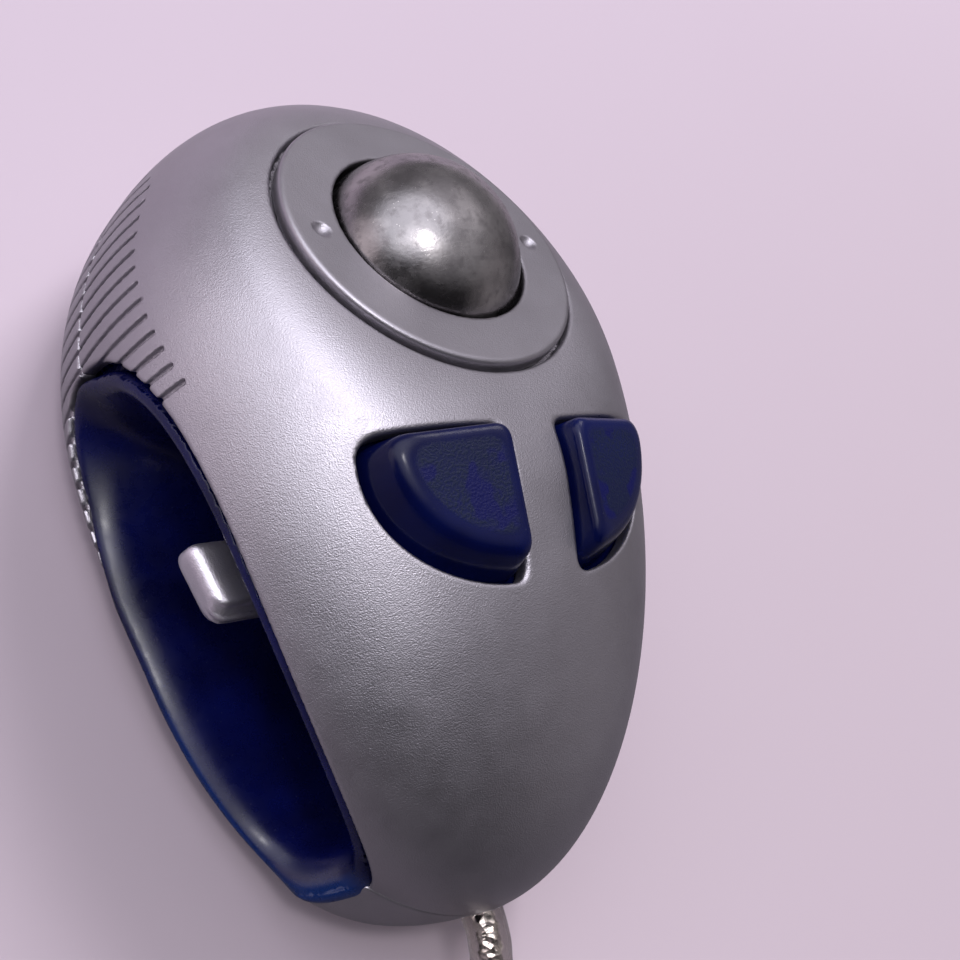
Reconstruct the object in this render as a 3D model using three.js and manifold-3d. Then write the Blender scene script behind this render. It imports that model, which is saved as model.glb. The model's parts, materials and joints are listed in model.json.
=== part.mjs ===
// A handheld trackball mouse: an egg-shaped case with a finger tunnel through it, a thumb ball under a
// twist-off retaining ring, two thumb buttons and a finger trigger. Units are millimetres. X runs
// across the mouse, -Y points to the cable end (the nose), +Z is up. The origin is the centre of the
// flat base under the widest section. Inside this file, heights are measured from the parting plane
// between the two shells.
import * as THREE from "three";
import { mergeVertices } from "three/addons/utils/BufferGeometryUtils.js";
import Module from "manifold-3d";

const wasm = await Module();
wasm.setup();

// ---- Driving dimensions -------------------------------------------------------------------------
// The egg, as distances from its widest section and its parting plane.
const HALF_WIDTH = 30.1;
const NOSE = 52.9;
const TAIL = 36.6;
const CROWN = 29;
const CROWN_Y = -1.4;
const KEEL = 17;
const BASE_DEPTH = 14;
const SECTION_POWER = 2.235;
const PLAN_POWER = 2;
const CROWN_NOSE_POWER = 1.67;
const CROWN_TAIL_POWER = 2.14;
const KEEL_POWER = 3.2;
// Below the seam the section fills out over the rear and middle of the case, between two stations.
const KEEL_SECTION_POWER = 2.9;
const KEEL_FILL_START_Y = -22;
const KEEL_FILL_END_Y = 2;
// Below the seam the front half swells out to a blunter plan over a depth, round the finger tunnel.
const CHIN_POWER = 2.65;
const CHIN_DEPTH = 7;
const WALL = 2;
const SEAM = 0.2;

// The ball and its retaining ring, which lies on a deck tilted back towards the tail.
const BALL_R = 11;
const BALL_CORE_R = 8;
const BALL_SINK = 4.06;
const RING_R = 16.5;
const RING_BORE_R = 10.66;
const RING_THICKNESS = 1.8;
const RING_PROUD = 0.7;
const RING_Y = 11;
const RING_Z = 23;
const RING_TILT = THREE.MathUtils.degToRad(13.2);
const DECK_BLEND = 2.5;
const LEDGE_R = 18.8;
const LEDGE_BORE_R = 14.6;
const LEDGE_TOP = -RING_THICKNESS - 0.2;
const LEDGE_BOTTOM = -3.4;
const SKIRT_BOTTOM = -4.6;
const LUG_START = Math.PI / 2;
const BAYONET_TURN = THREE.MathUtils.degToRad(24);

// The finger tunnel: its mouth in the shells, its bore at the mouth and its throat at the middle of the
// case. Each is an oval in the YZ plane with its own reach in four directions and its own corner power
// in each quadrant. Towards the nose its lower side droops by a share of its depth.
const MOUTH = {
  y: -13, z: 0, rear: 20.8, front: 33.9, top: 13.6, bottom: 8.3, droop: 0.4,
  powers: { rearTop: 2.25, frontTop: 1.72, rearBottom: 2.25, frontBottom: 3.5 },
};
const BORE = { ...MOUTH, rear: 19.2, front: 32.3, top: 12, bottom: 6.8 };
const THROAT = { ...MOUTH, y: -20, rear: 17, front: 21, top: 11, bottom: 7.2 };
const TUNNEL_WALL = 1.2;
const TUNNEL_FLARE = 3;
const TUNNEL_SUNK = 0.8;
const NOSE_HALF = 8.6;

// The thumb buttons, given for the right-hand one; the left-hand one is its mirror image.
const BUTTON_INNER_X = 3.4;
const BUTTON_REAR_Y = -11.2;
const BUTTON_ARC = { x: 3.4, y: -13, rx: 14.1, ry: 12.5 };
const BUTTON_GAP = 0.5;
const BUTTON_TOP_Z = 30.0;
const BUTTON_TOP_SLOPE = 0.2;
const BUTTON_SIDE_SLOPE = 0.24;
const BUTTON_FRONT_SLOPE = THREE.MathUtils.degToRad(42);
const FLANGE_GROW = 0.8;
const ARM_HALF = 2;
const EYE_R = 1.7;
const STEM_R = 1.5;
const STEM_LENGTH = 3.4;
const ROD_Y = -8;
const ROD_BRACKETS = [-14.4, 0, 14.4];
const ROD_Z = 21;
const ROD_R = 0.9;
const ROD_HALF = 16.2;
const TURNING_FIT = 0.15;

// The trigger and its pin.
const PIN_LUG_X = 6.6;
const TRIGGER_HALF_WIDTH = 24.9;
const TRIGGER_TOP = 5.2;
const TRIGGER_BOTTOM = 1.2;
const TRIGGER_REAR = -12.2;
const TRIGGER_FRONT = -19.2;
const TRIGGER_PAD_BULGE = 1.1;
const TRIGGER_END_ROUND = 1.5;
const TRIGGER_END_SLANT = 0.22;
const TRIGGER_TAB_FRONT = -18.9;
const TRIGGER_TAB_TOP = 19.4;
const PIN_Y = -15.5;
const PIN_Z = 15.2;
const PIN_R = 0.9;
const PIN_SPAN = [-8.3, 13];
const NECK_HALF = 4.2;
const TAB_HALF = 2;

// The circuit board and the switches on it.
const BOARD_Z = 14;
const BOARD_THICKNESS = 1.2;
const BOARD_TOP = BOARD_Z + BOARD_THICKNESS;
const SWITCH_X = 9.5;
const SWITCH_Y = -21;
const SWITCH_HEIGHT = 2.4;
const BUTTON_SWITCH_HALF = 2.8;
const TRIGGER_SWITCH_HALF = 2.6;
const PLUNGER_R = 1.5;

// The rollers that the ball turns, and the encoder wheels on their shafts.
const ROLLER_R = 1.6;
const SHAFT_R = 0.8;
const ROLLER_DROP = THREE.MathUtils.degToRad(35);
const ROLLER_GAP = 0.08;
const WHEEL_R = 4.2;
const WHEEL_OFFSET = 11.5;
const WHEEL_SLOTS = 8;
const SLOT_INNER_R = 2.2;
const SLOT_OUTER_R = 3.6;
const HUB_R = 1.45;

// The cable.
const CABLE_R = 2.25;
const CABLE_Z = -2.35;
const CABLE_STUB = 24;

// Clearance between parts that only have to stay apart.
const GAP = 0.3;

// Where the ball's centre is: below the ring's centre, along the ring's tilted axis.
const BALL = new THREE.Vector3(
  0, RING_Y - BALL_SINK * Math.sin(RING_TILT), RING_Z - BALL_SINK * Math.cos(RING_TILT));

// ---- Materials ----------------------------------------------------------------------------------
const paint = (color, roughness, metalness = 0) => new THREE.MeshStandardMaterial({ color, roughness, metalness });
const SILVER = paint(0xa8a4ae, 0.38, 0.7);
const RING_SILVER = paint(0x98939e, 0.42, 0.7);
const BLUE = new THREE.MeshStandardMaterial({ color: 0x0b1a8c, roughness: 0.2, transparent: true, opacity: 0.75 });
const BALL_STEEL = paint(0x6d6a68, 0.3, 0.95);
const STEEL = paint(0xb8b8bc, 0.3, 1);
const BLACK = paint(0x1b1b1e, 0.6);
const WHITE = paint(0xe9e6df, 0.5);
const BOARD_GREEN = paint(0x1d5c35, 0.5);
const AMBER = paint(0xc9a24a, 0.3);
const SMOKE = paint(0x2b2633, 0.2);
const CLEAR = new THREE.MeshStandardMaterial({ color: 0xc8b9a8, roughness: 0.15, transparent: true, opacity: 0.4 });
const FOIL = paint(0xc9c4bf, 0.25, 1);
const wireColour = { red: 0xb3202a, white: 0xe6e6e6, green: 0x1f8a46, black: 0x151515 };

// ---- Solids -------------------------------------------------------------------------------------
// A closed geometry as a solid that can be cut and joined.
function solid(geometry) {
  const bare = geometry.clone();
  for (const name of Object.keys(bare.attributes)) {
    if (name !== "position") bare.deleteAttribute(name);
  }
  const merged = mergeVertices(bare, 1e-4);
  return new wasm.Manifold(new wasm.Mesh({
    numProp: 3,
    vertProperties: merged.attributes.position.array,
    triVerts: new Uint32Array(merged.index.array),
  }));
}

// The geometry of such a solid.
function geometryOf(manifold) {
  const mesh = manifold.getMesh();
  return new THREE.BufferGeometry()
    .setAttribute("position", new THREE.BufferAttribute(new Float32Array(mesh.vertProperties), 3))
    .setIndex(new THREE.BufferAttribute(new Uint32Array(mesh.triVerts), 1));
}

const join = (first, ...rest) => rest.reduce((a, b) => a.add(b), first);
const cut = (first, ...rest) => rest.reduce((a, b) => a.subtract(b), first);
const common = (first, ...rest) => rest.reduce((a, b) => a.intersect(b), first);

// A box from its low corner to its high corner.
function box(low, high) {
  const size = high.map((value, axis) => value - low[axis]);
  const middle = high.map((value, axis) => (value + low[axis]) / 2);
  return solid(new THREE.BoxGeometry(...size).translate(...middle));
}

// A cylinder between two points.
function rod(from, to, radius, segments = 12) {
  const start = new THREE.Vector3(...from);
  const along = new THREE.Vector3(...to).sub(start);
  const turn = new THREE.Quaternion().setFromUnitVectors(new THREE.Vector3(0, 1, 0), along.clone().normalize());
  const middle = start.addScaledVector(along, 0.5);
  return solid(new THREE.CylinderGeometry(radius, radius, along.length(), segments)
    .applyQuaternion(turn)
    .translate(middle.x, middle.y, middle.z));
}

// A closed profile of [radius, height] points turned about the Z axis.
function turned(profile, segments = 32) {
  const points = [...profile, profile[0]].map(([radius, height]) => new THREE.Vector2(radius, height));
  return solid(new THREE.LatheGeometry(points, segments).rotateX(Math.PI / 2));
}

// Everything on one side of a height, as a slab large enough for any part of the mouse.
const REACH = 200;
const above = (z) => box([-REACH, -REACH, z], [REACH, REACH, z + REACH]);
const below = (z) => box([-REACH, -REACH, z - REACH], [REACH, REACH, z]);

// ---- The egg ------------------------------------------------------------------------------------
const signedPower = (value, power) => Math.sign(value) * Math.abs(value) ** power;

// A superellipse's height over its base: 1 at the middle, 0 at the end.
const arch = (share, power) => Math.max(0, 1 - Math.abs(share) ** power) ** (1 / power);

// The lower of two heights, with the corner between them rounded over a distance.
function smoothLower(a, b, blend) {
  const share = THREE.MathUtils.clamp(0.5 + (b - a) / (2 * blend), 0, 1);
  return b * (1 - share) + a * share - blend * share * (1 - share);
}

// The height of the deck around the ring, above station y.
function deckHeight(y, inset) {
  return RING_Z - (RING_PROUD + inset) / Math.cos(RING_TILT) - (y - RING_Y) * Math.tan(RING_TILT);
}

// The power of the section's curve at a station, above or below the seam.
function sectionPower(y, isUpper) {
  const fill = (y - KEEL_FILL_START_Y) / (KEEL_FILL_END_Y - KEEL_FILL_START_Y);
  const share = isUpper ? 0 : THREE.MathUtils.smoothstep(fill, 0, 1);
  return THREE.MathUtils.lerp(SECTION_POWER, KEEL_SECTION_POWER, share);
}

// How far the section at a height has swollen from the plan at the seam to the chin's plan.
function chinShare(y, z) {
  return y < 0 ? THREE.MathUtils.smoothstep(-z / CHIN_DEPTH, 0, 1) : 0;
}

// Half the width of the plan at station y, before the section's own curve.
function halfWidth(y, z, inset) {
  const share = y / ((y < 0 ? NOSE : TAIL) - inset);
  const plan = THREE.MathUtils.lerp(arch(share, PLAN_POWER), arch(share, CHIN_POWER), chinShare(y, z));
  return (HALF_WIDTH - inset) * plan;
}

function crownHeight(y, inset) {
  const offset = y - CROWN_Y;
  const reach = offset < 0 ? NOSE + CROWN_Y : TAIL - CROWN_Y;
  return (CROWN - inset) * arch(offset / (reach - inset), offset < 0 ? CROWN_NOSE_POWER : CROWN_TAIL_POWER);
}

const keelDepth = (y, inset) => (KEEL - inset) * arch(y / ((y < 0 ? NOSE : TAIL) - inset), KEEL_POWER);

// The egg with its skin moved in by a distance, as a sphere whose points are carried to the egg's
// surface.
function egg(inset, around = 20, along = 16) {
  const sphere = new THREE.SphereGeometry(1, around, along);
  const place = sphere.attributes.position;
  for (let i = 0; i < place.count; i++) {
    const [dx, dy, dz] = [place.getX(i), place.getY(i), place.getZ(i)];
    const y = dy * ((dy < 0 ? NOSE : TAIL) - inset);
    const turn = Math.atan2(dz, dx);
    const power = 2 / sectionPower(y, dz > 0);
    const rise = signedPower(Math.sin(turn), power);
    const z = rise * (rise > 0 ? crownHeight(y, inset) : keelDepth(y, inset));
    const x = halfWidth(y, z, inset) * signedPower(Math.cos(turn), power);
    place.setXYZ(i, x, y, z > 0 ? smoothLower(z, deckHeight(y, inset), DECK_BLEND) : z);
  }
  return solid(sphere);
}

// The egg's half-width at a station and a height.
function skinX(y, z, inset = 0) {
  const reach = z > 0 ? crownHeight(y, inset) : keelDepth(y, inset);
  return reach <= 0 ? 0 : halfWidth(y, z, inset) * arch(Math.min(1, Math.abs(z) / reach), sectionPower(y, z > 0));
}

// Carries a profile drawn in XY and extruded along Z to one in YZ extruded along X.
const PROFILE_TO_YZ = new THREE.Matrix4().makeBasis(
  new THREE.Vector3(0, 1, 0), new THREE.Vector3(0, 0, 1), new THREE.Vector3(1, 0, 0));

// ---- The finger tunnel's outlines ---------------------------------------------------------------
// The point of an oval at an angle, grown outwards by a distance. Angle 0 is the rear, a quarter turn
// is the top.
function ovalPoint(oval, angle, grow = 0) {
  const [c, s] = [Math.cos(angle), Math.sin(angle)];
  const corner = (c > 0 ? "rear" : "front") + (s > 0 ? "Top" : "Bottom");
  const power = 2 / oval.powers[corner];
  const share = signedPower(c, power);
  const droop = corner === "frontBottom" ? 1 + oval.droop * share ** 2 : 1;
  const rise = ((s > 0 ? oval.top : oval.bottom) + grow) * signedPower(s, power) * droop;
  return [oval.y + ((c > 0 ? oval.rear : oval.front) + grow) * share, oval.z + rise];
}

// Two bars with an oval's section, one reaching out to each side from the middle of the nose.
function ovalBar(oval, grow, points = 28) {
  const outline = new THREE.Shape();
  for (let i = 0; i < points; i++) {
    const [y, z] = ovalPoint(oval, (i / points) * 2 * Math.PI, grow);
    if (i) outline.lineTo(y, z);
    else outline.moveTo(y, z);
  }
  const bar = new THREE.ExtrudeGeometry(outline, { depth: 2 * REACH, bevelEnabled: false, steps: 1 });
  const across = solid(bar.translate(0, 0, -REACH).applyMatrix4(PROFILE_TO_YZ));
  return cut(across, box([-NOSE_HALF, -REACH, -REACH], [NOSE_HALF, REACH, REACH]));
}

// The tunnel as a solid plug that widens from the throat to both mouths, grown outwards by a distance.
function tunnelPlug(grow, around = 24, across = 12) {
  const END = 1.2;
  const tube = new THREE.CylinderGeometry(1, 1, 2 * END, around, across);
  const place = tube.attributes.position;
  for (let i = 0; i < place.count; i++) {
    const share = place.getY(i);
    const radius = Math.hypot(place.getX(i), place.getZ(i));
    const angle = Math.atan2(place.getZ(i), place.getX(i));
    const [throatY, throatZ] = ovalPoint(THROAT, angle, grow);
    const [boreY, boreZ] = ovalPoint(BORE, angle, grow);
    const flare = Math.min(1, Math.abs(share)) ** TUNNEL_FLARE;
    const atEnd = Math.abs(share) > (1 + END) / 2;
    const x = atEnd ? Math.sign(share) * (HALF_WIDTH + 5) : share * skinX(boreY, boreZ);
    const y = THREE.MathUtils.lerp(throatY, boreY, flare);
    const z = THREE.MathUtils.lerp(throatZ, boreZ, flare);
    if (radius > 0.5) place.setXYZ(i, -x, y, z);
    else place.setXYZ(i, -Math.sign(share) * (HALF_WIDTH + 5), BORE.y, BORE.z);
  }
  return solid(tube);
}

// ---- The ring's tilted frame --------------------------------------------------------------------
const deck = new THREE.Group();
deck.position.set(0, RING_Y, RING_Z);
deck.rotation.x = -RING_TILT;
deck.updateMatrix();
const onDeck = (manifold) => solid(geometryOf(manifold).applyMatrix4(deck.matrix));

// ---- The mouse ----------------------------------------------------------------------------------
const mouse = new THREE.Group();
const hull = new THREE.Group();
hull.position.z = BASE_DEPTH;
mouse.add(hull);
hull.add(deck);

function piece(name, manifold, material, group = hull) {
  const mesh = new THREE.Mesh(geometryOf(manifold), material);
  mesh.name = name;
  group.add(mesh);
}

// ---- Screws -------------------------------------------------------------------------------------
const SCREW_R = 1;
const SCREW_HOLE_R = 1.2;
const HEAD_R = 1.6;
const HEAD_HEIGHT = 1.2;
const HEAD_HOLE_R = 1.8;
const BOSS_R = 2.4;
const NOSE_BOSS_R = 2.2;
const REAR_SCREW = { x: 19, y: 15, head: -9.6, tip: 7 };
const NOSE_SCREW = { x: 5.9, y: -47.4, head: -7.4, tip: 4 };

// A screw with its head down: a slotted cap under a plain shank.
function screw(x, y, head, tip) {
  const cap = rod([x, y, head - HEAD_HEIGHT], [x, y, head], HEAD_R);
  const shank = rod([x, y, head - 0.1], [x, y, tip], SCREW_R, 8);
  const slotTop = head - HEAD_HEIGHT / 2;
  const slot = box([x - HEAD_R, y - 0.3, head - HEAD_HEIGHT - 1], [x + HEAD_R, y + 0.3, slotTop]);
  return join(cut(cap, slot), shank);
}

const CASE_SCREWS = [
  { name: "case_screw_rear_left", side: -1, at: REAR_SCREW },
  { name: "case_screw_rear_right", side: 1, at: REAR_SCREW },
  { name: "case_screw_nose_left", side: -1, at: NOSE_SCREW },
  { name: "case_screw_nose_right", side: 1, at: NOSE_SCREW },
];
for (const { name, side, at } of CASE_SCREWS) piece(name, screw(side * at.x, at.y, at.head, at.tip), STEEL);

// ---- Thumb button outline -----------------------------------------------------------------------
// The D-shaped outline of the right-hand button's cutout, grown outwards by a distance, as an upright
// bar.
function buttonBar(side, grow) {
  const { x, y, rx, ry } = BUTTON_ARC;
  const [inner, rear] = [BUTTON_INNER_X - grow, BUTTON_REAR_Y + grow];
  const corner = 1.8 + grow / 2;
  const outline = new THREE.Shape();
  outline.moveTo(inner, rear - corner);
  outline.quadraticCurveTo(inner, rear, inner + corner, rear);
  outline.lineTo(x + rx + grow - 2 * corner, rear);
  outline.quadraticCurveTo(x + rx + grow, rear, x + rx + grow, y);
  outline.absellipse(x, y, rx + grow, ry + grow, 0, THREE.MathUtils.degToRad(-84), true);
  outline.quadraticCurveTo(inner, y - ry - grow, inner, y - ry - grow + corner);
  const bar = solid(new THREE.ExtrudeGeometry(outline, { depth: REACH, bevelEnabled: false, curveSegments: 8 }));
  return side > 0 ? bar : bar.mirror([1, 0, 0]);
}

// ---- Casings ------------------------------------------------------------------------------------
const skin = egg(0, 24, 20);
const inside = egg(WALL);
const mouths = ovalBar(MOUTH, 0);
const cableHole = rod([0, -NOSE - 5, CABLE_Z], [0, -NOSE + 9, CABLE_Z], CABLE_R + GAP);
const SIDES = [-1, 1];

// The plate under the ball cup, and the posts of the bottom shell that it rests on.
const PLATE = { low: [-15.8, 2.2, 5.2], high: [16, 27.5, 6.6] };
const CUP_RESTS = [[-13, 8], [13, 8], [0, 25.5]];

function topShell() {
  const ledge = onDeck(turned([[LEDGE_BORE_R, LEDGE_BOTTOM], [LEDGE_R, LEDGE_BOTTOM], [LEDGE_R, LEDGE_TOP + 1],
    [LEDGE_BORE_R, LEDGE_TOP + 1]]));
  const seat = onDeck(turned([[0, LEDGE_TOP], [RING_R + GAP, LEDGE_TOP], [RING_R + GAP, 20], [0, 20]]));
  const notches = [0, 1, 2].map((turn) => onDeck(solid(new THREE.BoxGeometry(4, 3.6, 3)
    .translate(LEDGE_BORE_R, 0, LEDGE_BOTTOM)
    .rotateZ(LUG_START + (turn * 2 * Math.PI) / 3 + BAYONET_TURN))));
  const throughHole = onDeck(turned([[0, -8], [LEDGE_BORE_R, -8], [LEDGE_BORE_R, 20], [0, 20]]));
  const brackets = ROD_BRACKETS.map((x) => {
    return box([x - 1.3, ROD_Y - 1.7, ROD_Z - 2.2], [x + 1.3, ROD_Y + 2, CROWN]);
  });
  const bosses = SIDES.flatMap((side) => [
    rod([side * REAR_SCREW.x, REAR_SCREW.y, GAP], [side * REAR_SCREW.x, REAR_SCREW.y, CROWN], BOSS_R),
    rod([side * NOSE_SCREW.x, NOSE_SCREW.y, GAP], [side * NOSE_SCREW.x, NOSE_SCREW.y, CROWN], NOSE_BOSS_R),
  ]);
  const pilots = SIDES.flatMap((side) => [
    rod([side * REAR_SCREW.x, REAR_SCREW.y, -1], [side * REAR_SCREW.x, REAR_SCREW.y, 9], SCREW_HOLE_R, 12),
    rod([side * NOSE_SCREW.x, NOSE_SCREW.y, -1], [side * NOSE_SCREW.x, NOSE_SCREW.y, 6], SCREW_HOLE_R, 12),
  ]);
  const fittings = cut(common(join(ledge, ...brackets, ...bosses), egg(WALL / 2)), tunnelPlug(TUNNEL_WALL + GAP));
  return cut(
    join(cut(skin, inside, mouths), fittings).intersect(above(SEAM / 2)),
    seat, throughHole, cableHole, ...notches, ...pilots,
    rod([-18, ROD_Y, ROD_Z], [18, ROD_Y, ROD_Z], ROD_R + 0.12),
    ...SIDES.map((side) => buttonBar(side, 0)),
  );
}

function bottomShell() {
  const floorInside = common(inside, above(-BASE_DEPTH + WALL));
  const posts = SIDES.flatMap((side) => [
    rod([side * REAR_SCREW.x, REAR_SCREW.y, -BASE_DEPTH], [side * REAR_SCREW.x, REAR_SCREW.y, -GAP], BOSS_R),
    rod([side * NOSE_SCREW.x, NOSE_SCREW.y, -BASE_DEPTH], [side * NOSE_SCREW.x, NOSE_SCREW.y, -GAP], NOSE_BOSS_R),
  ]);
  const holes = CASE_SCREWS.flatMap(({ side, at }) => [
    rod([side * at.x, at.y, -BASE_DEPTH - 2], [side * at.x, at.y, 2], SCREW_HOLE_R, 12),
    rod([side * at.x, at.y, -BASE_DEPTH - 2], [side * at.x, at.y, at.head + 0.1], HEAD_HOLE_R),
  ]);
  const rests = CUP_RESTS.map(([x, y]) => rod([x, y, -BASE_DEPTH], [x, y, PLATE.low[2] - GAP], 2, 12));
  const fittings = cut(common(join(...posts), skin), tunnelPlug(TUNNEL_WALL + GAP));
  const body = common(join(cut(skin, floorInside, mouths), fittings), below(-SEAM / 2));
  return cut(common(join(body, ...rests), above(-BASE_DEPTH)), cableHole, ...holes);
}

// ---- Finger tunnel ------------------------------------------------------------------------------
const SLOT = { x: 5, rear: -11.4, front: -19.8 };
const BOARD_SCREWS = [{ name: "board_screw_left", x: -13 }, { name: "board_screw_right", x: 13 }];
const BOARD_SCREW_Y = -7.6;

function fingerTunnel() {
  const lip = ovalBar(MOUTH, -GAP);
  const upperRim = common(lip, cut(egg(TUNNEL_SUNK, 24, 20), egg(WALL + 0.7)), above(-0.01));
  const lowerRim = common(lip, cut(skin, egg(WALL + 0.7)), below(0));
  const flange = common(ovalBar(MOUTH, 1), cut(egg(WALL + GAP), egg(WALL + 1.3)));
  const tube = common(tunnelPlug(TUNNEL_WALL), egg(TUNNEL_SUNK, 24, 20));
  const lugs = SIDES.map((side) => {
    const x = side * PIN_LUG_X;
    return box([x - 0.9, PIN_Y - 2, 10.5], [x + 0.9, PIN_Y + 2, PIN_Z + 1.9]);
  });
  const posts = BOARD_SCREWS.map(({ x }) => rod([x, BOARD_SCREW_Y, 9], [x, BOARD_SCREW_Y, BOARD_Z - 0.1], 2, 12));
  const pilots = BOARD_SCREWS.map(({ x }) => rod([x, BOARD_SCREW_Y, 11.6], [x, BOARD_SCREW_Y, 20], SCREW_HOLE_R, 10));
  return cut(
    join(upperRim, lowerRim, flange, tube, ...lugs, ...posts),
    tunnelPlug(0),
    box([-SLOT.x, SLOT.front, 8], [SLOT.x, SLOT.rear, PIN_Z + 3]),
    rod([-9, PIN_Y, PIN_Z], [9, PIN_Y, PIN_Z], PIN_R + 0.1, 12),
    ...pilots,
  );
}

piece("top_shell", topShell(), SILVER);
piece("bottom_shell", bottomShell(), SILVER);
piece("finger_tunnel", fingerTunnel(), BLUE);

// ---- Retaining ring -----------------------------------------------------------------------------
// A flat ring whose bore closes over the ball, with a skirt and three bayonet lugs that turn under the
// ledge.
const SKIRT_R = LEDGE_BORE_R - GAP;
const DIMPLE_X = 13.3;

function retainingRing() {
  const body = turned([
    [RING_BORE_R, 0], [11.55, -RING_THICKNESS], [11.65, SKIRT_BOTTOM], [SKIRT_R, SKIRT_BOTTOM],
    [SKIRT_R, -RING_THICKNESS], [RING_R, -RING_THICKNESS], [RING_R, -0.5], [RING_R - 0.4, 0],
  ], 32);
  const dimples = SIDES.map((side) => solid(new THREE.SphereGeometry(1, 10, 6).translate(side * DIMPLE_X, 0, 0.45)));
  const lugs = [0, 1, 2].map((turn) => solid(new THREE.BoxGeometry(2.4, 3, 0.9)
    .translate(SKIRT_R + 0.2, 0, LEDGE_BOTTOM - 0.75)
    .rotateZ(LUG_START + (turn * 2 * Math.PI) / 3)));
  return cut(join(body, ...lugs), ...dimples);
}

piece("retaining_ring", retainingRing(), RING_SILVER, deck);

// ---- Ball ---------------------------------------------------------------------------------------
const BALL_SKIN_INNER_R = BALL_CORE_R + 0.45;

// The plated skin is open at one small moulding vent, which points down at rest.
function ballSkin() {
  const outer = solid(new THREE.SphereGeometry(BALL_R, 24, 16));
  const inner = solid(new THREE.SphereGeometry(BALL_SKIN_INNER_R, 14, 9));
  const vent = rod([0, 0, 0], [0, 0, -BALL_R - 1], 0.7, 8);
  return cut(outer, inner, vent).translate(BALL.toArray());
}

piece("ball_skin", ballSkin(), BALL_STEEL);
piece("ball_core", solid(new THREE.SphereGeometry(BALL_CORE_R, 14, 9)).translate(BALL.toArray()), STEEL);

// ---- Rollers and encoder wheels -----------------------------------------------------------------
// Both rollers touch the ball below its middle. The pitch roller lies behind it, along X; the roll
// roller lies to the left of it, along Y.
const ROLLER_REACH = (BALL_R + ROLLER_R + ROLLER_GAP) * Math.cos(ROLLER_DROP);
const ROLLER_Z = BALL.z - (BALL_R + ROLLER_R + ROLLER_GAP) * Math.sin(ROLLER_DROP);
const PITCH_Y = BALL.y + ROLLER_REACH;
const ROLL_X = -ROLLER_REACH;
const WHEEL_Y = BALL.y + WHEEL_OFFSET;
const PITCH_SPAN = [-4.9, WHEEL_OFFSET + 4.6];
const ROLL_SPAN = [BALL.y - 5.6, WHEEL_Y + 4.6];

// An encoder wheel about the Z axis: a thin disc with radial slots and a hub.
function encoderWheel() {
  const disc = new THREE.Shape().absarc(0, 0, WHEEL_R, 0, 2 * Math.PI);
  for (let i = 0; i < WHEEL_SLOTS; i++) {
    const middle = (i / WHEEL_SLOTS) * 2 * Math.PI;
    const half = Math.PI / WHEEL_SLOTS / 2;
    const slot = new THREE.Path();
    slot.moveTo(SLOT_INNER_R * Math.cos(middle - half), SLOT_INNER_R * Math.sin(middle - half));
    slot.lineTo(SLOT_OUTER_R * Math.cos(middle - half), SLOT_OUTER_R * Math.sin(middle - half));
    slot.lineTo(SLOT_OUTER_R * Math.cos(middle + half), SLOT_OUTER_R * Math.sin(middle + half));
    slot.lineTo(SLOT_INNER_R * Math.cos(middle + half), SLOT_INNER_R * Math.sin(middle + half));
    disc.holes.push(slot);
  }
  const plate = solid(new THREE.ExtrudeGeometry(disc, { depth: 0.6, bevelEnabled: false, curveSegments: 10 })
    .translate(0, 0, -0.3));
  const hub = rod([0, 0, -1], [0, 0, 1], HUB_R, 12);
  return cut(join(plate, hub), rod([0, 0, -2], [0, 0, 2], SHAFT_R + 0.08, 10));
}

// A shaft with a thicker sleeve where the ball touches it, along Z from start to end, sleeve about zero.
function rollerShaft([start, end]) {
  return join(rod([0, 0, start], [0, 0, end], SHAFT_R, 10), rod([0, 0, -2.4], [0, 0, 2.4], ROLLER_R, 20));
}

// A frame with its local Z along an axis through a point.
function frameAlong(direction, at) {
  const group = new THREE.Group();
  group.quaternion.setFromUnitVectors(new THREE.Vector3(0, 0, 1), new THREE.Vector3(...direction));
  group.position.set(...at);
  hull.add(group);
  return group;
}

const pitchFrame = frameAlong([1, 0, 0], [0, PITCH_Y, ROLLER_Z]);
const rollFrame = frameAlong([0, 1, 0], [ROLL_X, BALL.y, ROLLER_Z]);
piece("pitch_roller", rollerShaft(PITCH_SPAN), STEEL, pitchFrame);
piece("pitch_encoder_wheel", encoderWheel().translate([0, 0, WHEEL_OFFSET]), BLACK, pitchFrame);
piece("roll_roller", rollerShaft(ROLL_SPAN.map((y) => y - BALL.y)), STEEL, rollFrame);
piece("roll_encoder_wheel", encoderWheel().translate([0, 0, WHEEL_OFFSET]), BLACK, rollFrame);

// ---- Ball cup -----------------------------------------------------------------------------------
const CUP_R = BALL_R + 0.6;
const CUP_WALL = 1.2;
const CUP_RIM = SKIRT_BOTTOM - 0.5;
const BEAD_R = 0.9;
const BEAD_TURN = THREE.MathUtils.degToRad(-45);
const BEAD = [
  Math.cos(BEAD_TURN) * Math.cos(ROLLER_DROP) * (BALL_R + BEAD_R + ROLLER_GAP),
  BALL.y + Math.sin(BEAD_TURN) * Math.cos(ROLLER_DROP) * (BALL_R + BEAD_R + ROLLER_GAP),
  BALL.z - Math.sin(ROLLER_DROP) * (BALL_R + BEAD_R + ROLLER_GAP),
];

// A bearing post under one shaft end, standing on the plate, with a clearance hole for the shaft.
function bearingPost(axis, x, y) {
  const half = axis === "x" ? [0.7, 1.7] : [1.7, 0.7];
  return box([x - half[0], y - half[1], PLATE.low[2] + 0.2], [x + half[0], y + half[1], ROLLER_Z + 1.7]);
}

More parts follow.
